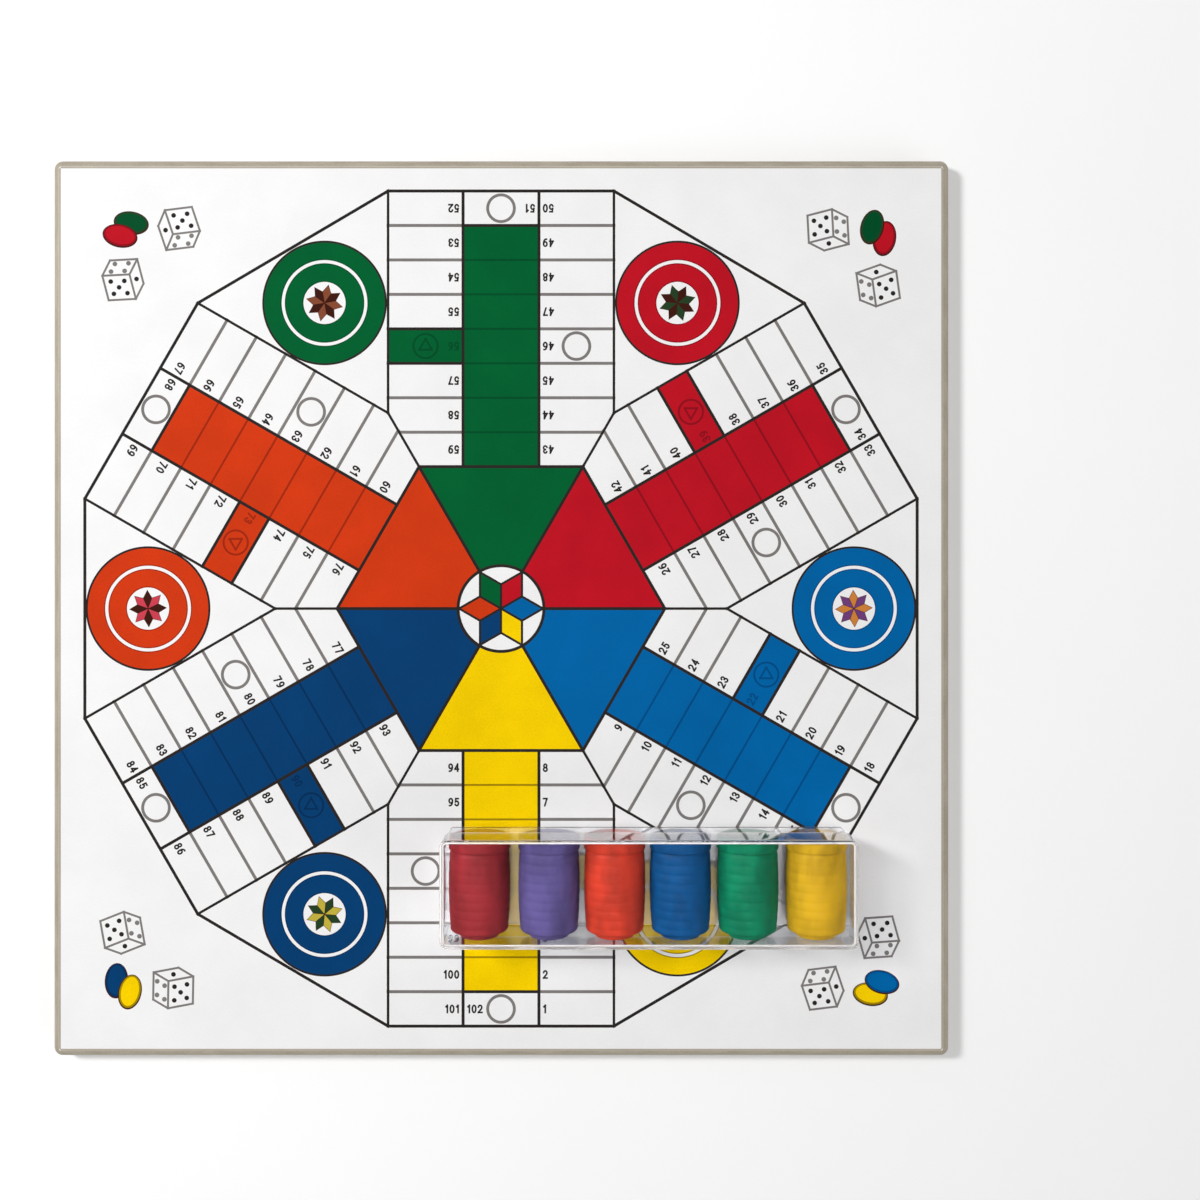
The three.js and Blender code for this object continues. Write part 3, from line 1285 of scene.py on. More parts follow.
    def draw_die(self, centre: Point, turn: float) -> None:
        """Draws the outline of a small die with its five, its four and its one in view.

        Args:
            centre: Its middle.
            turn: How the drawing is turned, in degrees.
        """
        rotation = Euler([math.radians(angle) for angle in (*self.die_tilt, turn)]).to_matrix()
        half = self.die_drawing / 2
        edges = []
        for spots, normal, across, up in DIE_FACES:
            if (rotation @ normal).z <= self.least_slant:
                continue

            def flat(u: float, v: float) -> Point:
                """Returns where a place on this face shows in the drawing."""
                seen = rotation @ (normal + across * u + up * v) * half
                return (centre[0] + seen.x, centre[1] + seen.y)

            edges.append([flat(-1, -1), flat(1, -1), flat(1, 1), flat(-1, 1)])
            ink = Ink.GREY if spots == 4 else Ink.BLACK
            for u, v in PIP_PLACES[spots]:
                place = flat(u * self.pip_spread, v * self.pip_spread)
                self.layout.disc(ink, place, self.pip_radius)
        for corners in edges:
            self.layout.border(Ink.GREY, corners, self.lane_line)

    def draw_counter(self, centre: Point, tilt: float, ink: Ink, shade: Ink) -> None:
        """Draws a counter seen at a slant, with the line of its rim.

        Args:
            centre: Its middle.
            tilt: The direction of its longer axis, in degrees.
            ink: Its colour.
            shade: The colour of its rim.
        """
        long, short = self.counter_drawing
        cos, sin = math.cos(math.radians(tilt)), math.sin(math.radians(tilt))
        for colour, less, lift in ((Ink.UMBER, 0.0, -0.2), (shade, 0.5, 0.0), (ink, 1.3, 0.1)):
            ellipse = oval((0.0, 0.0), long - less, short - less, 0, 351, 39)
            self.layout.paint(colour, [
                (centre[0] + x * cos - y * sin, centre[1] + x * sin + y * cos + lift)
                for x, y in ellipse
            ])

    def draw_corners(self) -> None:
        """Draws the dice and counters in the four corners of the sheet."""
        for die in DRAWN_DICE:
            self.draw_die(*die)
        for counter in DRAWN_COUNTERS:
            self.draw_counter(*counter)

    def write_numbers(self) -> None:
        """Numbers all squares from 1 to 102, each number read from its arm's outer end."""
        kind = NumberType(self.figure_height)
        step = 2 * self.rows + 1
        count = len(PLAYERS)
        for arm, player in enumerate(PLAYERS):
            outward = self.spot(arm, 0.0, 1.0)
            up = (-outward[0], -outward[1])
            beside = self.lane_half + self.figure_gap
            for row in range(1, self.rows + 1):
                out = self.row_line(arm, row - 0.5)
                ink = player.shade if row == self.start_row else Ink.BLACK
                target = self.figures.setdefault(ink, FlatPrint())
                kind.write(target, step * arm + row, self.spot(arm, beside, out), up, Align.LEFT)
                number = step * ((arm - 1) % count) + step - row
                place = self.spot(arm, -beside, out)
                kind.write(self.figures[Ink.BLACK], number, place, up, Align.RIGHT)
            end = self.spot(arm, self.figure_gap - self.lane_half, self.row_line(arm, 0.5))
            kind.write(self.figures[Ink.BLACK], step * (arm or count), end, up, Align.LEFT)

    def prints(self) -> dict[Ink, FlatPrint]:
        """Lays out the whole track.

        Returns:
            The flat print of each ink.
        """
        self.paint_trim()
        steps = (self.fill_arm, self.rule_cells, self.rule_arm, self.mark_rests, self.paint_home)
        for step in steps:
            for arm in range(len(PLAYERS)):
                step(arm)
        self.paint_hub()
        self.draw_corners()
        self.write_numbers()
        return self.layout.separate()


class Motif(Enum):
    """The simple figures that fill the squares of the reverse."""

    STAR = "star"
    TARGET = "target"
    DIAMOND = "diamond"
    STRIPES = "stripes"


@dataclass
class ReversePrint:
    """The second face: a spiral of numbered squares with plain figures on a peach ground."""

    side: float
    squares: int = 8
    square: float = 42.0
    corner: float = 4.0
    corner_steps: int = 6
    gap: float = 3.0
    line: float = 0.9
    motif_share: float = 0.3
    motif_line: float = 0.54
    star_rays: int = 8
    star_line: float = 0.36
    bar_half: float = 3.0
    bar_pitch: float = 0.66
    badge: float = 6.6
    badge_inset: float = 1.5
    badge_line: float = 0.63
    figure_height: float = 6.0
    layout: PrintLayout = field(default_factory=PrintLayout)

    def __post_init__(self) -> None:
        """Starts an empty print for the numbers."""
        self.figures = {Ink.BLACK: FlatPrint()}

    def path(self) -> list[tuple[int, int]]:
        """Lays the squares along a spiral from the lower left corner.

        Returns:
            Their columns and rows.
        """
        low, high = 0, self.squares - 1
        cells: list[tuple[int, int]] = []
        while low <= high:
            cells += [(column, low) for column in range(low, high + 1)]
            cells += [(high, row) for row in range(low + 1, high + 1)]
            cells += [(column, high) for column in range(high - 1, low - 1, -1)]
            cells += [(low, row) for row in range(high - 1, low, -1)]
            low, high = low + 1, high - 1
        return cells

    def draw_motif(self, motif: Motif, centre: Point, first: Ink, second: Ink) -> None:
        """Paints a figure in the middle of a square.

        Args:
            motif: Which figure.
            centre: The middle of the square.
            first: The figure's main colour.
            second: Its other colour.
        """
        reach, layout = self.square * self.motif_share, self.layout
        if motif is Motif.STAR:
            for i, kite in enumerate(star_points(centre, reach, 0, self.star_rays)):
                layout.paint((first, second)[i % 2], kite)
                layout.border(Ink.BLACK, kite, self.star_line)
        elif motif is Motif.TARGET:
            for ink, share in ((first, 1.0), (Ink.PAPER, 0.72), (second, 0.45)):
                layout.ring(Ink.BLACK, ink, centre, reach * share, self.motif_line)
        elif motif is Motif.DIAMOND:
            for ink, share in ((first, 1.0), (second, 0.55)):
                corners = arc(centre, reach * share, 0, 270, 3)
                layout.paint(ink, corners)
                layout.border(Ink.BLACK, corners, self.motif_line)
        else:
            low, high = centre[1] - reach, centre[1] + reach
            for i in range(-1, 2):
                x = centre[0] + i * reach * self.bar_pitch
                left, right = x - self.bar_half, x + self.bar_half
                bar = [(left, low), (right, low), (right, high), (left, high)]
                layout.paint((first, second)[i % 2], bar)
                layout.border(Ink.BLACK, bar, self.motif_line)

    def prints(self) -> dict[Ink, FlatPrint]:
        """Lays out the whole reverse.

        Returns:
            The flat print of each ink.
        """
        half = self.side / 2
        self.layout.paint(Ink.PEACH, [(-half, -half), (half, -half), (half, half), (-half, half)])
        grounds = (Ink.YELLOW, Ink.SKY, Ink.PAPER, Ink.GREEN, Ink.PAPER, Ink.ORANGE)
        figures = ((Ink.RED, Ink.PAPER), (Ink.YELLOW, Ink.PAPER), (Ink.SKY, Ink.RED),
                   (Ink.YELLOW, Ink.RED), (Ink.GREEN, Ink.YELLOW), (Ink.PAPER, Ink.SKY))
        motifs = list(Motif)
        kind = NumberType(self.figure_height)
        pitch, middle = self.square + self.gap, (self.squares - 1) / 2
        corner = self.square / 2 - self.badge - self.badge_inset
        for i, (column, row) in enumerate(self.path()):
            centre = ((column - middle) * pitch, (row - middle) * pitch)
            ground = grounds[i % len(grounds)]
            for ink, more in ((Ink.BLACK, self.line / 2), (ground, -self.line / 2)):
                size = self.square + 2 * more
                outline = rounded_rectangle(size, size, self.corner + more, self.corner_steps)
                self.layout.paint(ink, [(x + centre[0], y + centre[1]) for x, y in outline])
            self.draw_motif(motifs[i % len(motifs)], centre, *figures[i % len(figures)])
            badge = (centre[0] - corner, centre[1] + corner)
            self.layout.ring(Ink.BLACK, Ink.PAPER, badge, self.badge, self.badge_line)
            kind.write(self.figures[Ink.BLACK], i + 1, badge, (0.0, 1.0), Align.CENTRE)
        return self.layout.separate()


# Sub-assemblies


@dataclass
class Board:
    """The panel with its rounded edges and a printed sheet on each face."""

    edge_radius: float = 3.0
    edge_steps: int = 10
    paper_corner: float = 1.0
    paper_corner_steps: int = 5
    paper_edge: float = 0.08
    paper_mottle: float = 0.015
    film: float = 0.03
    figure_film: float = 0.04
    reverse_margin: float = 0.3
    core: Colour = (174, 165, 149)
    core_fibre: Colour = (154, 145, 128)

    def build_core(self) -> bpy.types.Object:
        """Lofts the panel, rounded at both faces and at its corners.

        Returns:
            The panel.
        """
        low, high = box_mm("board_core")
        radius, size = self.edge_radius, high - low
        lower = arc((0, low.z + radius), radius, 270, 360, self.edge_steps)
        upper = arc((0, high.z - radius), radius, 0, 90, self.edge_steps)
        edge = [(radius - x, z) for x, z in (*lower, *upper)]
        section = [(radius + SUPPORT, low.z), *edge, (radius + SUPPORT, high.z)]
        loft = RoundedLoft(size.x, size.y, radius + self.paper_corner)
        piece = loft.build("board_panel", section)
        finish = SealedFibreboard("sealed_fibreboard", self.core, self.core_fibre)
        return place_piece(piece, finish, "board", "board_core")

    def build_paper(self, name: str, node: str, up: bool) -> bpy.types.Object:
        """Makes a sheet of paper that leaves room for its ink.

        Args:
            name: The piece's name.
            node: The node that it stands for.
            up: Whether its printed side is the upper one.

        Returns:
            The sheet.
        """
        low, high = box_mm(node)
        bottom = low.z if up else low.z + self.figure_film
        top = high.z - self.figure_film if up else high.z
        size, edge = high - low, self.paper_edge
        section = [(edge, bottom), (0.0, bottom + edge), (0.0, top - edge), (edge, top)]
        corner, steps = self.paper_corner, self.paper_corner_steps
        loft = RoundedLoft(size.x, size.y, corner, corner_steps=steps)
        piece = loft.build(name, section, sharp=20)
        finish = CoatedPaper("sheet_paper", Ink.PAPER.value, self.paper_mottle)
        return place_piece(piece, finish, "board", node)

    def build_prints(
        self, prefix: str, design: TrackPrint | ReversePrint, face: Matrix, side: float
    ) -> list[bpy.types.Object]:
        """Makes the films of ink of one face.

        Args:
            prefix: The first part of the films' names.
            design: The face's design.
            face: Where the face lies.
            side: The face's size.

        Returns:
            The films, one for each ink and one for each colour of number.
        """
        pieces = []
        for ink, flat in design.prints().items():
            film = flat.film(f"{prefix}_ink_{ink.name.lower()}", self.film, face, side)
            pieces.append(place_piece(film, ink.finish(), "board"))
        for ink, flat in design.figures.items():
            film = flat.film(f"{prefix}_figures_{ink.name.lower()}", self.figure_film, face, side)
            pieces.append(place_piece(film, ink.finish(), "board"))
        return pieces

    def build(self) -> list[bpy.types.Object]:
        """Makes the panel, both sheets and their prints.

        Returns:
            The pieces.
        """
        low, high = box_mm("parcheesi_sheet")
        side = high.x - low.x
        upper = Matrix.Translation((0, 0, high.z - self.figure_film))
        base, _ = box_mm("reverse_sheet")
        turned_over = Matrix.Diagonal((-1, 1, -1, 1))
        lower = Matrix.Translation((0, 0, base.z + self.figure_film)) @ turned_over
        reverse = ReversePrint(side - self.reverse_margin)
        return [
            self.build_core(),
            self.build_paper("track_paper", "parcheesi_sheet", True),
            self.build_paper("reverse_paper", "reverse_sheet", False),
            *self.build_prints("track", TrackPrint(side), upper, side),
            *self.build_prints("reverse", reverse, lower, side),
        ]


@dataclass
class ClearCase:
    """The tray and the lid of the clear case, two thin shells with softened edges."""

    wall: float = 0.8
    panel: float = 1.2
    tray_corner: float = 2.0
    lid_corner: float = 3.05
    edge: float = 0.45
    rim: float = 0.25
    floor_fillet: float = 0.7
    seat: float = 0.04
    # Frost shares on the panel's round edge and the tray's floor: a painted highlight on the edge,
    # painted light in the gaps between the cups
    edge_mark: float = 0.3
    floor_mark: float = 0.6
    mark_margin: float = 0.05
    rim_margin: float = 0.01
    finish: ClearPlastic = field(default_factory=lambda: ClearPlastic("case_clear"))

    def section(self, base: float, rim: float) -> list[Point]:
        """Gives the section of an open box, from its panel's outside round the rim to its inside.

        Args:
            base: The height of the panel's outer face.
            rim: The height of the open rim.

        Returns:
            Pairs of inset and height.
        """
        way = 1 if rim > base else -1
        wall, edge, lip, fillet = self.wall, self.edge, self.rim, self.floor_fillet
        floor = base + way * self.panel
        hollow = arc((0, 0), fillet, 180, 270, 5)
        points = [(edge + SUPPORT, base)]
        points += [(edge - x, base + way * (edge + y)) for x, y in arc((0, 0), edge, 270, 360, 5)]
        points += [(0.0, base + way * (edge + SUPPORT)), (0.0, rim - way * (lip + SUPPORT))]
        points += [(lip - x, rim - way * (lip - y)) for x, y in arc((0, 0), lip, 0, 90, 4)]
        points += [(wall - lip - x, rim - way * (lip - y)) for x, y in arc((0, 0), lip, 90, 180, 4)]
        points += [(wall, rim - way * (lip + SUPPORT)), (wall, floor + way * (fillet + SUPPORT))]
        points += [(wall + fillet + x, floor + way * (fillet + y)) for x, y in hollow]
        return [*points, (wall + fillet + SUPPORT, floor)]

    def build_half(
        self, name: str, node: str, body: str, corner: float, upright: bool
    ) -> bpy.types.Object:
        """Makes one half of the case.

        Args:
            name: The piece's name.
            node: The node that it stands for.
            body: The body that it rides on.
            corner: Its outer corner radius.
            upright: Whether it opens upwards.

        Returns:
            The half.
        """
        low, high = box_mm(node)
        size = high - low
        centre = ((low.x + high.x) / 2, (low.y + high.y) / 2)
        ends = (low.z + self.seat, high.z) if upright else (high.z, low.z)
        loft = RoundedLoft(size.x, size.y, corner, centre)
        piece = loft.build(name, self.section(*ends))
        self.mark_rims(piece, *ends)
        return place_piece(piece, self.finish, body, node)

    def mark_rims(self, piece: bpy.types.Object, base: float, rim: float) -> None:
        """Marks the open rim in full, and the panel's round edge and the tray's floor in part:
        frost that is also a painted highlight on the rims and painted light between the cups.

        Args:
            piece: The half of the case.
            base: The height of the panel's outer face.
            rim: The height of the open rim.
        """
        margin = self.mark_margin
        marks = piece.data.attributes.new(RIM_MARK, "FLOAT", "POINT")
        for vertex, mark in zip(piece.data.vertices, marks.data):
            height = vertex.co.z / MM
            on_edge = margin < abs(height - base) < self.edge - margin
            on_floor = rim > base and abs(height - base - self.panel) < margin
            if abs(height - rim) <= self.rim + self.rim_margin:
                mark.value = 1.0
            else:
                # Part marks whiten the round edge as a painted highlight and the floor as painted
                # light between the cups
                mark.value = self.edge_mark * on_edge + self.floor_mark * on_floor

    def build(self) -> list[bpy.types.Object]:
        """Makes the tray and the lid.

        Returns:
            The two halves.
        """
        return [
            self.build_half("tray_shell", "case_tray", "tray", self.tray_corner, True),
            self.build_half("lid_shell", "case_lid", "lid", self.lid_corner, False),
        ]


@dataclass(frozen=True)
class SetColour:
    """The colour of one player's cup and counters."""

    name: str
    cup: Colour
    counter: Colour


SETS = (
    SetColour("red", (130, 34, 38), (178, 28, 44)),
    SetColour("purple", (78, 68, 115), (92, 72, 160)),
    SetColour("orange", (171, 48, 29), (216, 82, 30)),
    SetColour("blue", (0, 66, 115), (20, 92, 170)),
    SetColour("green", (0, 106, 72), (16, 122, 76)),
    SetColour("yellow", (178, 139, 20), (234, 190, 42)),
)


@dataclass
class DiceCups:
    """Six ridged barrel cups, each turned about its own axis with its mouth towards +y."""

    length: float = 42.2
    foot_reach: float = 0.4
    rim_radius: float = 13.3
    rim_length: float = 4.2
    rim_edge: float = 0.4
    rim_lift: float = 0.1
    lip: float = 0.6
    neck_radius: float = 12.8
    neck_length: float = 1.4
    neck_cut: float = 0.35
    neck_ends: Pair = (0.2, 0.5)
    belly_radius: float = 13.3
    belly_height: float = 22.4
    base_radius: float = 12.5
    shoulder: float = 1.2
    foot_radius: float = 8.5
    foot_height: float = 2.4
    foot_ring: float = 2.2
    foot_recess: float = 0.8
    foot_edge: float = 0.35
    foot_fillet: float = 0.4
    recess_share: float = 0.9
    axis_step: float = 0.4
    wall: float = 1.4
    floor: float = 2.1
    bore_fillet: float = 1.0
    bore_steps: int = 12
    ridge_pitch: float = 3.9
    ridge_depth: float = 0.13
    ridge_steps: int = 10
    segments: int = 80

    def __post_init__(self) -> None:
        """Works out the heights that follow from the sizes."""
        self.base_height = self.foot_height + self.shoulder
        self.rim_height = self.length - self.rim_length
        self.neck_height = self.rim_height - self.neck_length
        self.bore_start = self.foot_height + self.floor

    def barrel(self, height: float) -> float:
        """Works out the barrel's outer radius without its ridges.

        Args:
            height: The distance from the foot.

        Returns:
            The radius there.
        """
        above = height > self.belly_height
        end = self.neck_height if above else self.base_height
        end_radius = self.neck_radius if above else self.base_radius
        share = min(1.0, (height - self.belly_height) / (end - self.belly_height))
        return self.belly_radius - (self.belly_radius - end_radius) * share**2

    def ridged(self, height: float) -> float:
        """Works out the barrel's outer radius with its ridges.

        Args:
            height: The distance from the foot.

        Returns:
            The radius there.
        """
        count = math.floor((self.neck_height - self.base_height) / self.ridge_pitch)
        first = self.neck_height - count * self.ridge_pitch
        if height < first - self.ridge_pitch / 2:
            return self.barrel(height)
        wave = 0.5 + 0.5 * math.cos(2 * math.pi * (height - first) / self.ridge_pitch)
        return self.barrel(height) - self.ridge_depth * wave**2

    def foot(self) -> list[Point]:
        """Draws the profile of the foot and the shoulder above it.

        Returns:
            Pairs of radius and height.
        """
        outer, inner, recess = self.foot_radius, self.foot_radius - self.foot_ring, self.foot_recess
        edge, fillet, top = self.foot_edge, self.foot_fillet, self.foot_height - self.foot_fillet
        points = [(0.0, recess), (self.axis_step, recess), (inner - self.axis_step, recess)]
        points += [(inner, recess * self.recess_share)]
        points += arc((inner + 2 * edge, edge), edge, 180, 270, 4)
        points += arc((outer - edge, edge), edge, 270, 360, 4)
        points += [(outer, top)]
        points += arc((outer + fillet, top), fillet, 180, 90, 3)
        centre = (self.base_radius - self.shoulder, self.base_height)
        return points + arc(centre, self.shoulder, 270, 360, 8)

    def barrel_side(self) -> list[Point]:
        """Draws the ridged profile from the shoulder to the neck.

        Returns:
            Pairs of radius and height.
        """
        step = self.ridge_pitch / self.ridge_steps
        count = round((self.neck_height - self.base_height) / step)
        heights = [self.base_height + (i + 1) * step for i in range(count - 1)]
        return [(self.ridged(height), height) for height in heights]

    def mouth(self) -> list[Point]:
        """Draws the profile of the neck, the plain rim and the lip.

        Returns:
            Pairs of radius and height.
        """
        neck, rim, lip = self.neck_radius - self.neck_cut, self.rim_radius, self.lip
        inner = self.barrel(self.length) - self.wall
        low, high = self.neck_height + self.neck_ends[0], self.rim_height - self.neck_ends[1]
        edge = (rim - self.rim_edge, self.rim_height + self.rim_lift)
        points = [(neck, low), (neck, high), *arc(edge, self.rim_edge, 280, 360, 4)]
        points += arc((rim - lip, self.length - lip), lip, 0, 90, 5)
        return points + arc((inner + lip, self.length - lip), lip, 90, 180, 5)

    def bore(self) -> list[Point]:
        """Draws the profile of the inside, down to its floor.

        Returns:
            Pairs of radius and height.
        """
        steps, fillet = self.bore_steps, self.bore_fillet
        top, bottom = self.neck_height, self.bore_start + fillet
        heights = [top + (bottom - top) * i / steps for i in range(steps + 1)]
        points = [(self.barrel(height) - self.wall, height) for height in heights]
        points += arc((points[-1][0] - fillet, bottom), fillet, 0, -90, 5)[1:]
        return [*points, (self.axis_step, self.bore_start), (0.0, self.bore_start)]

    def build(self) -> list[bpy.types.Object]:
        """Makes the six cups.

        Returns:
            The cups.
        """
        profile = [*self.foot(), *self.barrel_side(), *self.mouth(), *self.bore()]
        pieces = []
        for each in SETS:
            node = f"dice_cup_{each.name}"
            piece = turned(f"cup_{each.name}", profile, node, self.foot_reach, self.segments)
            finish = MouldedPlastic(f"cup_plastic_{each.name}", each.cup)
            pieces.append(place_piece(piece, finish, f"cup_{each.name}", node))
        return pieces


@dataclass
class Counters:
    """Four dished counters for each player, standing in a roll in the cup."""

    radius: float = 7.5
    thickness: float = 3.8
    rim: float = 2.0
    recess: float = 0.7
    slope: float = 0.6
    edge: float = 0.5
    dish_edge: float = 0.25
    flat_step: float = 0.3
    per_cup: int = 4
    segments: int = 56

    def face(self) -> list[Point]:
        """Draws the profile of one face, from the axis out to the rounded edge.

        Returns:
            Pairs of radius and height.
        """
        dish, bend = self.radius - self.rim, self.dish_edge
        return [
            (0.0, self.recess),
            (self.flat_step, self.recess),
            (dish - self.slope - self.flat_step, self.recess),
            *arc((dish - self.slope, self.recess - bend), bend, 90, 45, 3),
            *arc((dish + bend, bend), bend, 225, 270, 3),
            (self.radius - self.edge - SUPPORT, 0.0),
            *arc((self.radius - self.edge, self.edge), self.edge, 270, 360, 5),
        ]

    def build(self) -> list[bpy.types.Object]:
        """Makes all the counters.

        Returns:
            The counters.
        """
        lower = self.face()
        upper = [(radius, self.thickness - height) for radius, height in reversed(lower)]
        pieces = []
        for each in SETS:
            finish = MouldedPlastic(
                f"counter_plastic_{each.name}", each.counter, roughness=0.34, shine=0.4
            )
            for i in range(1, self.per_cup + 1):
                node, name = f"counter_{each.name}_{i}", f"disc_{each.name}_{i}"
                piece = turned(name, [*lower, *upper], node, 0.0, self.segments, sharp=50)
                pieces.append(place_piece(piece, finish, f"contents_{each.name}", node))
        return pieces


@dataclass
class Dice:
    """One die in each cup, with rounded edges and painted hollow spots."""

    edge: float = 1.2
    edge_steps: int = 5
    spot_radius: float = 1.05
    spot_depth: float = 0.4
    spot_spread: float = 2.7
    spot_shares: tuple[float, ...] = (1.0, 0.8, 0.55, 0.28)
    paint: float = 0.03
    circle: int = 20
    resin: Colour = (240, 238, 230)
    spot_colour: Colour = (34, 32, 34)

    def rounded_cube(self, side: float) -> tuple[list[Vector], list[list[int]]]:
        """Bevels a cube on all edges.

        Args:
            side: The cube's size.

        Returns:
            Its corners and its faces.
        """
        work = bmesh.new()
        bmesh.ops.create_cube(work, size=side)
        bmesh.ops.bevel(
            work, geom=work.edges[:], offset=self.edge, segments=self.edge_steps, profile=0.5,
            affect="EDGES",
        )
        work.verts.index_update()
        corners = [vertex.co.copy() for vertex in work.verts]
        faces = [[vertex.index for vertex in face.verts] for face in work.faces]
        work.free()
        return corners, faces

    def spot_rings(self, lift: float) -> list[Point]:
        """Gives the radii and heights of a hollow spot's rings, from its edge inwards."""
        depth, shares = self.spot_depth, self.spot_shares
        return [(self.spot_radius * s, lift - depth * (1 - s * s)) for s in shares]

    def build_one(self, name: str, node: str) -> list[bpy.types.Object]:
        """Makes a die and the paint of its spots.

        Args:
            name: The player's colour.
            node: The node that the die stands for.

        Returns:
            The die and its painted spots.
        """
        low, high = box_mm(node)
        side, centre = high.y - low.y, (low + high) / 2
        half = side / 2
        body, paint = Shell(), Shell()
        corners, faces = self.rounded_cube(side)
        indices = body.loop(centre + corner for corner in corners)
        flats = {tuple(round(part) for part in normal): (spots, normal, across, up)
                 for spots, normal, across, up in DIE_FACES}
        for face in faces:
            middle = sum((corners[i] for i in face), Vector()) / len(face)
            direction = tuple(round(part) for part in middle / half)
            is_flat = len(face) == 4 and max(abs(part) for part in middle) > half - 1e-4
            if not is_flat or sum(abs(part) for part in direction) != 1:
                body.faces.append(tuple(indices[i] for i in face))
                continue
            self.cut_face(body, paint, centre, half, [corners[i] for i in face], flats[direction])
        piece = body.piece(f"die_cube_{name}", sharp=35)
        spots_piece = paint.piece(f"die_spots_{name}", sharp=60)
        resin = MouldedPlastic("die_resin", self.resin, roughness=0.24, shine=0.5, flow=0.03)
        spot_paint = MouldedPlastic(
            "spot_paint", self.spot_colour, roughness=0.4, shine=0.5, flow=0.15
        )
        body_name = f"contents_{name}"
        return [
            place_piece(piece, resin, body_name, node),
            place_piece(spots_piece, spot_paint, body_name),
        ]

    def cut_face(
        self, body: Shell, paint: Shell, centre: Vector, half: float, outline: Sequence[Vector],
        side: tuple[int, Vector, Vector, Vector],
    ) -> None:
        """Cuts the hollow spots into one flat face and paints them.

        Args:
            body: The die's shell.
            paint: The shell of the painted spots.
            centre: The die's middle.
            half: Half of the die's size.
            outline: The corners of the flat face.
            side: The face's number of spots, its normal and its two directions.
        """
        spots, normal, across, up = side

        def lifted(u: float, v: float, height: float) -> Vector:
            """Returns a place over the face."""
            return centre + across * u + up * v + normal * (half + height)

        points = [Vector((corner.dot(across), corner.dot(up))) for corner in outline]
        outlines = [list(range(len(points)))]
        middles = [(u * self.spot_spread, v * self.spot_spread) for u, v in PIP_PLACES[spots]]
        for middle in middles:
            ring = arc(middle, self.spot_radius, 0, 360, self.circle)[:-1]
            outlines.append(list(range(len(points), len(points) + len(ring))))
            points += [Vector(place) for place in ring]
        if sum(a.cross(b) for a, b in zip(points[:4], [*points[1:4], points[0]])) < 0:
            outlines[0].reverse()
        places, _, triangles, _, _, owners = delaunay_2d_cdt(points, [], outlines, 1, CUT_TOLERANCE)
        indices = body.loop(lifted(place.x, place.y, 0.0) for place in places)
        for triangle, owner in zip(triangles, owners):
            if list(owner) == [0]:
                body.faces.append(tuple(indices[i] for i in triangle))
        for middle in middles:
            self.sink_spot(body, middle, lifted, [0.0])
            self.sink_spot(paint, middle, lifted, [self.paint, -self.paint])

    def sink_spot(self, shell: Shell, middle: Point, lifted: Any, lifts: Sequence[float]) -> None:
        """Adds the bowl of a hollow spot.

        Args:
            shell: The shell that takes the bowl.
            middle: The spot's middle on the face.
            lifted: Gives a place over the face.
            lifts: The heights of the bowl's layers; two layers make a closed skin.
        """
        rims = []
        for lift in lifts:
            loops = []
            for radius, height in self.spot_rings(lift):
                ring = arc(middle, radius, 0, 360, self.circle)[:-1]
                loops.append(shell.loop(lifted(u, v, height) for u, v in ring))
            for outer, inner in zip(loops, loops[1:]):
                shell.bridge(outer, inner)
            shell.fan(loops[-1], lifted(middle[0], middle[1], lift - self.spot_depth))
            rims.append(loops[0])
        if len(rims) == 2:
            shell.bridge(rims[0], rims[1])

    def build(self) -> list[bpy.types.Object]:
        """Makes all the dice with their spots."""
        return [piece for each in SETS for piece in self.build_one(each.name, f"die_{each.name}")]


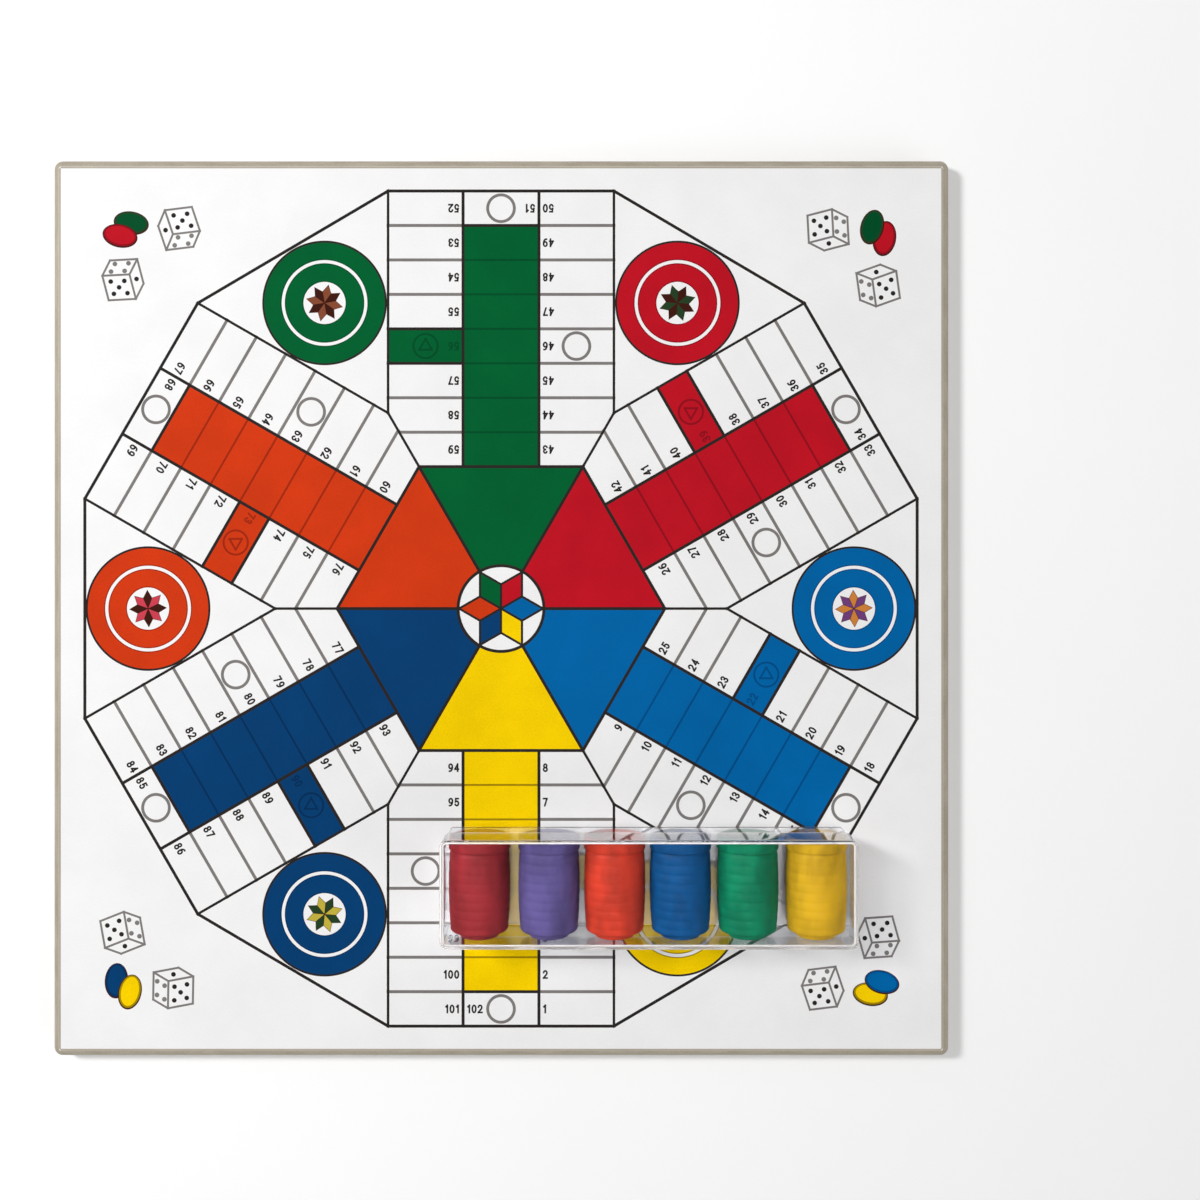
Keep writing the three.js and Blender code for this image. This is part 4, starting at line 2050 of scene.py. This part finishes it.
@dataclass
class Studio:
    """The pale floor, the soft lamps and the camera straight above the board."""

    floor_reach: float = 3000.0
    floor_drop: float = 0.2
    camera_place: Point = (44.1, 43.0)
    camera_height: float = 600.0
    view_width: float = 534.5
    sensor: float = 36.0
    shift: float = -0.0733
    clip_end: float = 100.0
    sky_bright: float = 0.4
    sky_dim: float = 0.05
    sky_band: Pair = (0.68, 0.93)
    overhead_place: Triple = (0, 0, 1500)
    overhead_strength: float = 0.94
    overhead_angle: float = 16.0
    key_place: Triple = (-1080, 540, 1180)
    key_power: float = 19.0
    key_size: float = 300.0
    fill_place: Triple = (1200, -700, 350)
    fill_strength: float = 0.9
    fill_angle: float = 40.0

    def build_floor(self) -> None:
        """Makes the floor, just under the board."""
        shell = Shell()
        outline = arc((0, 0), self.floor_reach, 0, 354, 59)
        shell.cap(shell.loop((*place, -self.floor_drop) for place in outline))
        floor = shell.piece("studio_floor")
        floor.data.materials.append(StudioPaper("studio_paper").material())

    def build_lamp(self, name: str, place: Sequence[float], size: float, power: float) -> None:
        """Adds a square soft lamp that points at the board.

        Args:
            name: The lamp's name.
            place: Where it hangs, in millimetres.
            size: Its side.
            power: Its power, in watts.
        """
        data = bpy.data.lights.new(name, "AREA")
        data.energy = power
        data.size = size * MM
        self.hang(data, place)

    def build_glow(self, name: str, place: Sequence[float], angle: float, strength: float) -> None:
        """Adds a broad light that comes evenly from one side.

        Args:
            name: The light's name.
            place: A place that it comes from, in millimetres.
            angle: How wide it looks, in degrees.
            strength: Its strength, in watts per square metre.
        """
        data = bpy.data.lights.new(name, "SUN")
        data.energy = strength
        data.angle = math.radians(angle)
        self.hang(data, place)

    @staticmethod
    def hang(data: bpy.types.Light, place: Sequence[float]) -> None:
        """Hangs a light in the room, turned towards the board.

        Args:
            data: The light.
            place: Where it hangs, in millimetres.
        """
        lamp = bpy.data.objects.new(data.name, data)
        lamp.location = Vector(place) * MM
        lamp.rotation_euler = Vector(place).to_track_quat("Z", "Y").to_euler()
        bpy.context.scene.collection.objects.link(lamp)

    def build_sky(self) -> None:
        """Fills the room with pale light, dim straight above so that dark inks keep their depth."""
        scene = bpy.context.scene
        scene.world = bpy.data.worlds.new("studio")
        graph = Graph(scene.world)
        way = graph.node("ShaderNodeTexCoord").outputs["Generated"]
        height = graph.node("ShaderNodeSeparateXYZ", {}, {0: way}).outputs["Z"]
        fall = self.sky_bright - self.sky_dim
        light = self.sky_bright - fall * graph.step(height, *self.sky_band)
        sky = graph.node("ShaderNodeBackground", {}, {"Strength": light})
        graph.close(sky.outputs[0], "ShaderNodeOutputWorld")
        scene.view_settings.view_transform = "Standard"

    def build_camera(self, target: float) -> None:
        """Hangs the camera straight above, looking down.

        Args:
            target: The height of the board's upper face.
        """
        data = bpy.data.cameras.new("camera")
        data.sensor_width = self.sensor
        data.lens = self.sensor * self.camera_height / self.view_width
        data.shift_y = self.shift
        data.clip_end = self.clip_end
        camera = bpy.data.objects.new("camera", data)
        x, y = self.camera_place
        camera.location = Vector((x, y, target + self.camera_height)) * MM
        bpy.context.scene.collection.objects.link(camera)
        bpy.context.scene.camera = camera

    def build(self) -> None:
        """Makes the floor, the light and the camera."""
        self.build_floor()
        self.build_sky()
        self.build_lamp("key", self.key_place, self.key_size, self.key_power)
        self.build_glow("fill", self.fill_place, self.fill_angle, self.fill_strength)
        self.build_glow(
            "overhead", self.overhead_place, self.overhead_angle, self.overhead_strength
        )
        self.build_camera(box_mm("parcheesi_sheet")[1].z)


def main() -> None:
    """Builds every sub-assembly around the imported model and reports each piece."""
    logging.basicConfig(level=logging.INFO, format="%(message)s")
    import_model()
    Studio().build()
    for assembly in (Board(), ClearCase(), DiceCups(), Counters(), Dice()):
        for piece in assembly.build():
            LOG.info("%s: %s rides on %s", type(assembly).__name__, piece.name, piece["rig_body"])


if __name__ == "__main__":
    main()
